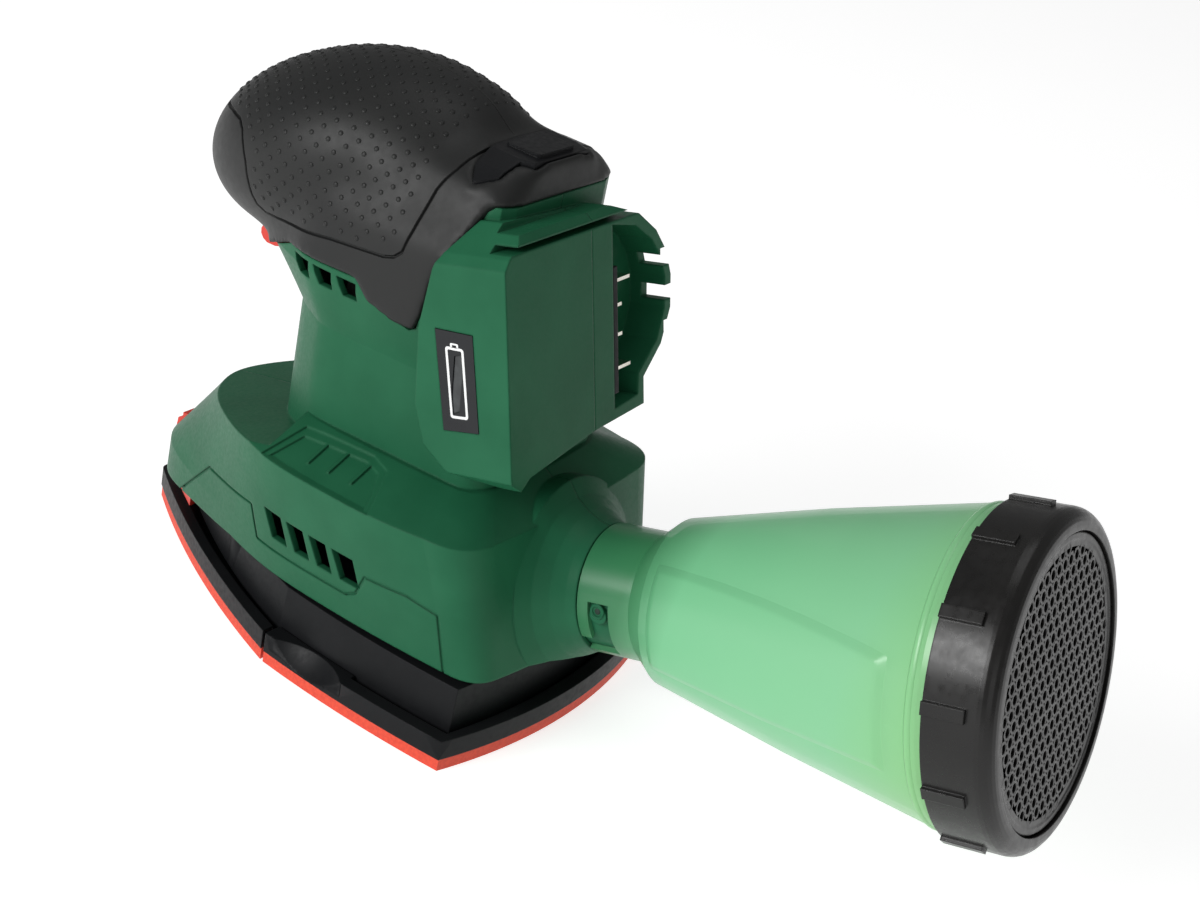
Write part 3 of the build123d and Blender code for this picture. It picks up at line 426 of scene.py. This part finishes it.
def steps_between(start, end, count):
    """Evenly spaced values from start to end."""
    return [start + (end - start) * k / count for k in range(count + 1)]


def upright_prism(outline, low, top_at):
    """Vertices and faces of a plan outline raised from one height to the top's height at each y."""
    vertices = [(x, y, low) for x, y in outline] + [(x, y, top_at(y)) for x, y in outline]
    return vertices, pulled_faces(len(outline))


def rim_fill(side):
    """The wider rim behind one thumb hollow, before it is hollowed."""
    ys = steps_between(*PAD_Y, 40)
    outline = [(side * (edge_at(REAR_EDGE, y) - FLUSH), y) for y in ys]
    outline += [(side * (edge_at(REAR_EDGE, y) - PAD_W), y) for y in reversed(ys)]
    return solid_mesh("rim_fill", *upright_prism(outline, RIM_LOW, lambda y: RIM_TOP - FLUSH))


def thumb_ball(side):
    """The sphere that hollows the rim on one side."""
    work = bmesh.new()
    bmesh.ops.create_uvsphere(work, u_segments=160, v_segments=120, radius=THUMB_R * MM)
    bmesh.ops.translate(work, verts=work.verts, vec=Vector((side * THUMB_AT[0], *THUMB_AT[1:])) * MM)
    mesh = bpy.data.meshes.new("thumb_ball")
    work.to_mesh(mesh)
    work.free()
    return mesh


def cut_with(obj, mesh, operation):
    """Add a boolean step to an object and return its helper object."""
    helper = placed(mesh.name, mesh)
    step = obj.modifiers.new(mesh.name, "BOOLEAN")
    step.operation = operation
    step.object = helper
    return helper


def build_rear_plate(materials):
    """The rear plate with its lens-shaped thumb hollows."""
    plate = placed("hollowed_plate", joined_mesh(("rear_plate",)))
    helpers = []
    for side in (-1, 1):
        helpers.append(cut_with(plate, rim_fill(side), "UNION"))
        helpers.append(cut_with(plate, thumb_ball(side), "DIFFERENCE"))
    mesh = evaluated_mesh(plate)
    plate.modifiers.clear()
    for helper in helpers:
        bpy.data.objects.remove(helper)
    mesh.shade_smooth()
    mesh.set_sharp_from_angle(angle=radians(24))
    plate.data = mesh
    dress(plate, materials["black"])
    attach(plate, "plate")
    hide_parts("rear_plate")


def build_nose_band(materials):
    """The red band of the catch that shows between the plate's tip and the housing."""
    ys = steps_between(*BAND_Y, 30)
    outer = [(edge_at(TIP_EDGE, y) - BAND_IN[0], y) for y in ys]
    inner = [(edge_at(TIP_EDGE, y) - BAND_IN[1], y) for y in ys[:-4]]
    outline = inner[:1] + outer + [(0.0, BAND_POINT)] + [(-x, y) for x, y in reversed(outer)]
    outline += [(-x, y) for x, y in inner] + list(reversed(inner))[:-1]
    prism = upright_prism(outline, BAND_LOW, lambda y: BAND_TOP + (y + 95) * BAND_RISE)
    new_piece("nose_band", "flex_catch", "red_plastic", materials["red"], *prism, smooth=False)


# Soft grip -------------------------------------------------------------------

VOXEL = 0.85
GROOVE_W, GROOVE_DEPTH = 0.42, 0.85
SEAM_W, SEAM_DEPTH = 0.35, 0.35
SEAM_LOW, SEAM_END = 120, 12.0      # the top seam runs above this height and up to this Y
TILE_LOW = 139.0                    # the tile's outline counts above this height
KEEP, FADE = 1.2, 4.0               # outlines are kept to this distance, and smoothing grows over the next
SMOOTH_ROUNDS = 90
FAR = 99.0


def distance_to_line(points, line):
    """Distance of each 2-D point from a polyline."""
    best = np.full(len(points), 1e9)
    for (ax, ay), (bx, by) in zip(line, line[1:]):
        a = np.array([ax, ay])
        run = np.array([bx - ax, by - ay])
        t = np.clip(((points - a) @ run) / (run @ run), 0, 1)
        best = np.minimum(best, np.linalg.norm(points - a - t[:, None] * run, axis=1))
    return best


def inside_polygon(y, z, ring):
    """Whether a (Y, Z) point lies inside a ring of points."""
    inside = False
    for (ay, az), (by, bz) in zip(ring, ring[1:] + ring[:1]):
        if (az > z) != (bz > z) and y < (by - ay) * (z - az) / (bz - az) + ay:
            inside = not inside
    return inside


def smooth_weights(points, keep_near):
    """Weights from almost 0 at the kept outlines to 1 a few millimetres off."""
    return np.clip((keep_near(points) - KEEP) / FADE, 0.04, 1.0)


def relax(mesh, weights, rounds):
    """Smooth a mesh, each vertex as far as its weight allows."""
    points = np.empty(len(mesh.vertices) * 3)
    mesh.vertices.foreach_get("co", points)
    points = points.reshape(-1, 3)
    edges = np.empty(len(mesh.edges) * 2, dtype=int)
    mesh.edges.foreach_get("vertices", edges)
    a, b = edges.reshape(-1, 2).T
    count = np.bincount(a, minlength=len(points)) + np.bincount(b, minlength=len(points))
    for _ in range(rounds):
        total = np.zeros_like(points)
        np.add.at(total, a, points[b])
        np.add.at(total, b, points[a])
        points += (total / count[:, None] - points) * (0.5 * weights[:, None])
    mesh.vertices.foreach_set("co", points.ravel())
    mesh.update()


def grip_edge_distance(points):
    """How far points are from the grip's lower boundary and from its tile, in millimetres."""
    away = distance_to_line(points[:, 1:], GRIP_EDGE)
    plan = np.stack([np.abs(points[:, 0]), points[:, 1]], axis=1)
    high = np.where(points[:, 2] > TILE_LOW, distance_to_line(plan, TILE), FAR)
    return np.minimum(away, high)


def refine_near(mesh, distance, reaches):
    """Split the edges of a mesh once for each reach, where its points lie nearer than that."""
    work = bmesh.new()
    work.from_mesh(mesh)
    for reach in reaches:
        work.verts.ensure_lookup_table()
        near = distance(np.array([v.co for v in work.verts]) / MM) < reach
        edges = [e for e in work.edges if near[e.verts[0].index] and near[e.verts[1].index]]
        bmesh.ops.subdivide_edges(work, edges=edges, cuts=1, use_grid_fill=True)
        work.verts.index_update()
    work.to_mesh(mesh)
    work.free()


def groove_distance(points):
    """Distance of points from the grip's panel groove and its top seam."""
    line = distance_to_line(points[:, 1:], PANEL_LINE)
    on_seam = (points[:, 2] > SEAM_LOW) & (points[:, 1] < SEAM_END)
    return line, np.where(on_seam, np.abs(points[:, 0]), FAR)


def sink_grooves(mesh):
    """Press the panel groove and the top seam into the grip."""
    count = len(mesh.vertices)
    points = np.empty(count * 3)
    normals = np.empty(count * 3)
    mesh.vertices.foreach_get("co", points)
    mesh.vertices.foreach_get("normal", normals)
    points = points.reshape(-1, 3)
    normals = normals.reshape(-1, 3)
    line, seam = groove_distance(points / MM)
    outer = normals @ np.array([0.0, 0.0, 0.25]) + normals[:, 0] * np.sign(points[:, 0]) > -0.05
    depth = GROOVE_DEPTH * np.clip(1 - (line / GROOVE_W) ** 2, 0, 1) ** 0.6
    depth = np.maximum(depth, SEAM_DEPTH * np.clip(1 - (seam / SEAM_W) ** 2, 0, 1) ** 0.6)
    points -= normals * (depth * outer * MM)[:, None]
    mesh.vertices.foreach_set("co", points.ravel())
    mesh.update()


BUMP_PITCH = 5.2
BUMP_R, BUMP_H = 0.72, 0.26
BUMP_FIELD_Y = (-72.0, 8.0)         # front and rear end of the rows of bumps
BUMP_AXIS_Z, BUMP_REACH = 128.0, 34.0   # the rows are spaced round this height at about this radius


def bump_centres(tree):
    """Places and normals of the raised bumps on the grip panel, in staggered rows."""
    ring = PANEL_LINE + [(-85.0, 165.0)]
    found = []
    front, rear = BUMP_FIELD_Y
    rows = int((rear - front) / (BUMP_PITCH / 2))
    step = BUMP_PITCH / BUMP_REACH
    for row in range(rows):
        centre = Vector((0, front + row * BUMP_PITCH / 2, BUMP_AXIS_Z))
        shift = step / 2 if row % 2 else 0.0
        for k in range(-14, 15):
            turn = k * step + shift
            way = Vector((sin(turn), 0, cos(turn)))
            place, normal, _, _ = tree.ray_cast((centre + way * 60.0) * MM, -way)
            if place is None:
                continue
            spot = place / MM
            margin = distance_to_line(np.array([[spot.y, spot.z]]), PANEL_LINE)[0]
            if margin < 2.2 or abs(spot.x) < 1.3 or normal.dot(way) < 0:
                continue
            if inside_polygon(spot.y, spot.z, ring):
                found.append((spot, normal))
    return found


def dome(place, normal, radius, height, sides=10):
    """A small rounded bump that stands on a surface."""
    side = normal.orthogonal().normalized()
    other = normal.cross(side)
    vertices, faces = [], []
    for level, (wide, high) in enumerate(((1.0, -0.35), (0.93, 0.35), (0.62, 0.8))):
        for k in range(sides):
            turn = 2 * pi * k / sides
            flat = (side * cos(turn) + other * sin(turn)) * radius * wide
            vertices.append(place + flat + normal * height * high)
        if level:
            a, b = (level - 1) * sides, level * sides
            faces += [(a + k, a + (k + 1) % sides, b + (k + 1) % sides, b + k) for k in range(sides)]
    vertices.append(place + normal * height)
    top = len(vertices) - 1
    faces += [(2 * sides + k, 2 * sides + (k + 1) % sides, top) for k in range(sides)]
    faces.append(tuple(reversed(range(sides))))
    return vertices, faces


SWITCH_O = Vector((0, -47.7, 100.0))    # a point on the switch's axis, at the neck
SWITCH_TILT = radians(44)
# The switch's thumb face, as (across the axis, outwards) seen from the side.
THUMB_SIDE = [
    (-4.7, 2.6), (-4.7, 3.6), (0.4, 5.2), (1.7, 7.8), (3.7, 9.9), (5.4, 10.5), (7.0, 10.3), (8.2, 9.3),
    (8.7, 7.8), (8.7, 3.4), (4.6, 3.4), (4.6, 2.6),
]


def at_switch(x, up, out):
    """A point in the switch's own frame: sideways, up along the neck, outwards."""
    c, s = cos(SWITCH_TILT), sin(SWITCH_TILT)
    return SWITCH_O + Vector((x, -up * s - out * c, up * c - out * s))


# The block that clears the grip round it, in the same way.
NOTCH_SIDE = [(-6.0, -2.0), (-6.0, 24.0), (9.4, 24.0), (9.4, -2.0)]
THUMB_HALF, NOTCH_HALF = 6.6, 8.0


def pulled_across(outline, half_w):
    """Vertices and faces of a switch outline pulled to both sides."""
    vertices = [at_switch(x, up, out) for x in (-half_w, half_w) for up, out in outline]
    return vertices, pulled_faces(len(outline))


def build_switch_face(materials):
    """The red thumb face that stands out from the switch's button."""
    shape = pulled_across(THUMB_SIDE, THUMB_HALF)
    face = new_piece("switch_face", "switch", "red_plastic", materials["red"], *shape)
    round_edges(face, 0.9 * MM)


def grip_skin():
    """One evenly meshed skin over both halves of the grip, open round the switch."""
    grip = placed("grip_raw", joined_mesh(("grip_left", "grip_right")))
    notch = cut_with(grip, solid_mesh("switch_notch", *pulled_across(NOTCH_SIDE, NOTCH_HALF)), "DIFFERENCE")
    remesh = grip.modifiers.new("even", "REMESH")
    remesh.mode = "VOXEL"
    remesh.voxel_size = VOXEL * MM
    mesh = evaluated_mesh(grip)
    for helper in (grip, notch):
        bpy.data.objects.remove(helper)
    return mesh


def build_grip(materials):
    """The soft grip as one smooth skin with its groove, seam and bumps."""
    mesh = grip_skin()
    points = np.array([v.co for v in mesh.vertices]) / MM
    relax(mesh, smooth_weights(points, grip_edge_distance), SMOOTH_ROUNDS)
    relax(mesh, np.full(len(points), 0.5), 2)
    refine_near(mesh, lambda p: np.minimum(*groove_distance(p)), (2.0, 1.3, 0.8))
    sink_grooves(mesh)
    for polygon in mesh.polygons:
        polygon.use_smooth = True
    grip = placed("soft_grip", mesh)
    dress(grip, materials["grip"])
    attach(grip, "housing")
    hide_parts("grip_left", "grip_right")
    work = bmesh.new()
    work.from_mesh(mesh)
    tree = BVHTree.FromBMesh(work)
    work.free()
    domes = [dome(place, normal, BUMP_R, BUMP_H) for place, normal in bump_centres(tree)]
    new_piece("grip_bumps", "housing", "soft_grip", materials["grip"], *merged(domes))


# Cap grille ------------------------------------------------------------------

GRILLE_R = 36.3
GRILLE_BACK, GRILLE_FRONT = 121.5, 123.1
GRILLE_FACE = GRILLE_FRONT - 0.25   # the field of holes lies a little below the rim
FIELD_R = GRILLE_R - 3.0
HOLE_PITCH = 3.75
ROW_STEP = HOLE_PITCH * 0.8660      # between rows of a triangular pattern
HOLE_R = 1.22


def hex_cell(cx, cy, sides=12):
    """One six-sided cell of the grille, with a round hole through it."""
    outer, inner = [], []
    reach = HOLE_PITCH / 2
    for k in range(sides):
        turn = 2 * pi * k / sides
        fold = (turn % (pi / 3)) - pi / 6
        edge = reach / cos(fold)
        outer.append((cx + edge * cos(turn), cy + edge * sin(turn)))
        inner.append((cx + HOLE_R * cos(turn), cy + HOLE_R * sin(turn)))
    vertices, faces = [], []
    layers = ((outer, GRILLE_FACE), (inner, GRILLE_FACE), (inner, GRILLE_BACK), (outer, GRILLE_BACK))
    for ring, along in layers:
        for x, y in ring:
            vertices.append(tube_point((x * x + y * y) ** 0.5, atan2(y, x), along))
    for a, b in ((0, 1), (1, 2), (2, 3)):
        for k in range(sides):
            n = (k + 1) % sides
            faces.append((a * sides + k, a * sides + n, b * sides + n, b * sides + k))
    return vertices, faces


def turned_ring(profile, sides=120):
    """A ring turned about the dust tube's axis from closed (radius, along) points."""
    vertices = [
        tube_point(r, 2 * pi * k / sides, along) for k in range(sides) for r, along in profile
    ]
    n = len(profile)
    faces = []
    for k in range(sides):
        a, b = k * n, ((k + 1) % sides) * n
        faces += [(a + i, a + (i + 1) % n, b + (i + 1) % n, b + i) for i in range(n)]
    return vertices, faces


def build_grille(materials):
    """The round end grille with its field of holes and a plain rim."""
    cells = []
    rows = int(GRILLE_R / HOLE_PITCH) + 3
    for i in range(-rows, rows + 1):
        for j in range(-rows, rows + 1):
            x = HOLE_PITCH * (i + j / 2)
            y = ROW_STEP * j
            if (x * x + y * y) ** 0.5 < FIELD_R:
                cells.append(hex_cell(x, y))
    rim = turned_ring([
        (GRILLE_R - 3.6, GRILLE_BACK), (GRILLE_R, GRILLE_BACK), (GRILLE_R, GRILLE_FRONT - 0.4),
        (GRILLE_R - 0.4, GRILLE_FRONT), (GRILLE_R - 1.6, GRILLE_FRONT), (GRILLE_R - 2.2, GRILLE_FACE),
        (GRILLE_R - 3.6, GRILLE_FRONT - 0.3),
    ])
    mesh = merged(cells + [rim])
    grille = new_piece("perforated_grille", "cap", "hard_black", materials["cap"], *mesh, smooth=False)
    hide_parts("cap_grille")


# Dust box relief -------------------------------------------------------------


def box_radius(along):
    """Outside radius of the dust box at a distance along its axis."""
    for (h0, r0), (h1, r1) in zip(BOX_PROFILE, BOX_PROFILE[1:]):
        if h0 <= along <= h1:
            return r0 + (r1 - r0) * (along - h0) / (h1 - h0)
    return BOX_PROFILE[-1][1]


def on_box(angle, along, lift=0.0):
    """A point on the dust box's outside."""
    return tube_point(box_radius(along) + lift, radians(angle), along)


FIELD_LIFT, FIELD_BEVEL = 0.9, 2.6
FIELD_START, FIELD_END = 24.0, 96.0
# The bead at the box's wide end, as closed (radius, along) points.
BEAD = [(39.0, 102.2), (39.7, 102.0), (40.1, 102.6), (40.1, 103.6), (39.8, 104.2), (39.0, 104.2)]


def field_span(along):
    """The field's lowest and highest angle at a distance along the box."""
    t = (along - FIELD_START) / (FIELD_END - FIELD_START)
    return -47 + 24 * t, 26 - 4 * t


def field_lift(angle, along):
    """Height of the plain raised field above the cone, with bevelled edges."""
    low, high = field_span(along)
    arc = radians(min(angle - low, high - angle)) * box_radius(along)
    inside = min(arc, FIELD_END - along, (along - FIELD_START) * 1.6)
    return FIELD_LIFT * max(0.0, min(1.0, inside / FIELD_BEVEL)) - 0.06


def raised_field(turn, columns=60, rows=90):
    """Vertices and faces of the raised field at one angle round the box."""
    vertices, faces = [], []
    for along in steps_between(FIELD_START, FIELD_END, rows):
        for angle in steps_between(*field_span(along), columns):
            vertices.append(on_box(turn + angle, along, field_lift(angle, along)))
    for j in range(rows):
        for i in range(columns):
            a = j * (columns + 1) + i
            faces.append((a, a + 1, a + columns + 2, a + columns + 1))
    return vertices, faces


def build_box_relief(materials):
    """The plain raised field on each side of the dust box, and the bead at its wide end."""
    parts = [raised_field(0), raised_field(180), turned_ring(BEAD)]
    new_piece("box_relief", "dust_box", "clear_green", materials["clear"], *merged(parts))


# Printed battery sign --------------------------------------------------------


def on_label(u, v, lift):
    """A point on the charge display: u from front to rear and v from bottom to top."""
    (ty, tz), (ry, rz), (by, bz), (fy, fz) = LABEL
    top = (ty + (ry - ty) * u, tz + (rz - tz) * u)
    low = (fy + (by - fy) * u, fz + (bz - fz) * u)
    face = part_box("charge_panel")[1][0] / MM
    return Vector((face + lift, low[0] + (top[0] - low[0]) * v, low[1] + (top[1] - low[1]) * v))


def rounded_frame(u0, u1, v0, v1, du, dv, steps=5):
    """Corner-rounded outline in label coordinates."""
    points = []
    corners = ((u1 - du, v1 - dv), (u0 + du, v1 - dv), (u0 + du, v0 + dv), (u1 - du, v0 + dv))
    for start, (cu, cv) in enumerate(corners):
        for k in range(steps + 1):
            turn = (start + k / steps) * pi / 2
            points.append((cu + du * cos(turn), cv + dv * sin(turn)))
    return points


def flat_ring(outer, inner, low, high):
    """A flat printed ring between two outlines with the same number of points."""
    n = len(outer)
    vertices = [on_label(u, v, lift) for lift in (low, high) for ring in (outer, inner) for u, v in ring]
    faces = []
    for k in range(n):
        m = (k + 1) % n
        faces.append((2 * n + k, 2 * n + m, 3 * n + m, 3 * n + k))
        faces.append((k, m, 2 * n + m, 2 * n + k))
        faces.append((n + k, n + m, 3 * n + m, 3 * n + k))
        faces.append((k, m, n + m, n + k))
    return vertices, faces


PRINT = (-0.02, 0.07)       # the print's underside and top over the display's face


def build_battery_sign(materials):
    """The plain white battery outline printed on the charge display."""
    outline = flat_ring(
        rounded_frame(0.245, 0.735, 0.135, 0.845, 0.07, 0.028),
        rounded_frame(0.305, 0.675, 0.162, 0.818, 0.035, 0.014),
        *PRINT,
    )
    terminal = flat_ring(
        rounded_frame(0.385, 0.60, 0.840, 0.885, 0.04, 0.014),
        rounded_frame(0.435, 0.55, 0.845, 0.868, 0.01, 0.004),
        *PRINT,
    )
    sign = merged([outline, terminal])
    new_piece("battery_sign", "housing", "gloss_black", materials["white"], *sign, smooth=False)


# Bayonet eye -----------------------------------------------------------------

LUG_ANGLE = -2.0
LUG_H = 6.2                 # the eye's place along the tube
EYE_R, EYE_BAR = 1.75, 0.42
LUG_FACE = 17.35            # the lug's outside radius


def build_bayonet_eyes(materials):
    """The raised eye on each bayonet lug, with a small dark dome as painted shade for its hole."""
    eyes, hole_shades = [], []
    for turn in (0, 180):
        angle = radians(LUG_ANGLE + turn)
        ring = []
        for k in range(20):
            a = 2 * pi * k / 20
            ring.append(tube_point(LUG_FACE, angle + EYE_R * cos(a) / LUG_FACE, LUG_H + EYE_R * sin(a)))
        eyes.append(bar_loop(ring, EYE_BAR))
        # Painted shade: a low near-black dome stands where the hole's shade would be.
        centre = tube_point(LUG_FACE - 0.05, angle, LUG_H)
        out = (tube_point(20, angle, LUG_H) - centre).normalized()
        hole_shades.append(dome(centre, out, 0.9, 0.16, sides=14))
    new_piece("lug_eyes", "housing", "green_shell", materials["green"], *merged(eyes))
    new_piece("lug_holes", "housing", "hard_black", materials["groove"], *merged(hole_shades))


# Studio ----------------------------------------------------------------------

VIEW_AZ = radians(118.1)
VIEW_EL = radians(26.2)
VIEW_ROLL = radians(12.1)
VIEW_TARGET = Vector((0, 40, 60))
VIEW_DISTANCE = 548.8
VIEW_SLIDE = (14.3, 5.6)
VIEW_LENS = 61.74


def build_camera():
    """The camera: a rolled view from above the tool's left rear."""
    back = Vector((sin(VIEW_AZ) * cos(VIEW_EL), -cos(VIEW_AZ) * cos(VIEW_EL), sin(VIEW_EL)))
    level = Vector((cos(VIEW_AZ), sin(VIEW_AZ), 0))
    upright = back.cross(level)
    right = level * cos(VIEW_ROLL) + upright * sin(VIEW_ROLL)
    up = upright * cos(VIEW_ROLL) - level * sin(VIEW_ROLL)
    place = VIEW_TARGET + back * VIEW_DISTANCE + right * VIEW_SLIDE[0] + up * VIEW_SLIDE[1]
    data = bpy.data.cameras.new("view")
    data.lens = VIEW_LENS
    data.sensor_width = 36.0
    data.sensor_fit = "HORIZONTAL"
    data.shift_x = 0.0038
    data.shift_y = 0.0039
    data.clip_start = 0.01
    data.clip_end = 20.0
    camera = placed("view", data)
    turn = Matrix((right, up, back)).transposed().to_4x4()
    camera.matrix_world = Matrix.Translation(place * MM) @ turn
    bpy.context.scene.camera = camera


def area_light(name, place, target, size, power):
    """A soft square light that looks at a point; lengths in metres."""
    data = bpy.data.lights.new(name, "AREA")
    data.shape = "RECTANGLE"
    data.size, data.size_y = size
    data.energy = power
    lamp = placed(name, data)
    lamp.location = place
    lamp.rotation_euler = (Vector(target) - Vector(place)).to_track_quat("-Z", "Y").to_euler()


def build_studio():
    """A pale floor, a key light from the tool's left front, and soft light from above and behind."""
    mesh = bpy.data.meshes.new("floor")
    half = 4.0
    corners = [(-half, -half, 0), (half, -half, 0), (half, half, 0), (-half, half, 0)]
    mesh.from_pydata(corners, [], [(0, 1, 2, 3)])
    floor = placed("floor", mesh)
    paint = Paint("pale_floor", (0.60, 0.60, 0.60), 0.9).tone((0.61, 0.61, 0.61), 3)
    paint.set(Emission_Color=(1, 1, 1, 1), Emission_Strength=0.72)
    dress(floor, paint.material)
    world = bpy.data.worlds.new("studio")
    world.use_nodes = True
    world.node_tree.nodes["Background"].inputs["Color"].default_value = (1, 1, 1, 1)
    world.node_tree.nodes["Background"].inputs["Strength"].default_value = 0.24
    bpy.context.scene.world = world
    middle = (0, 0.04, 0.07)
    area_light("key", (1.3, -0.45, 0.70), middle, (0.8, 0.6), 17.0)
    area_light("rear_fill", (0.9, 1.2, 0.5), middle, (0.9, 0.7), 1.6)
    area_light("top", (-0.2, 0.0, 1.4), middle, (0.9, 0.7), 2.6)
    bpy.context.scene.view_settings.view_transform = "Standard"


# Everything ------------------------------------------------------------------


def main():
    """Build the looks round the model."""
    materials = make_materials()
    dress_frame(materials)
    build_grip(materials)
    build_switch_face(materials)
    build_rear_plate(materials)
    build_nose_band(materials)
    build_grille(materials)
    build_box_relief(materials)
    build_battery_sign(materials)
    build_bayonet_eyes(materials)
    build_studio()
    build_camera()


main()
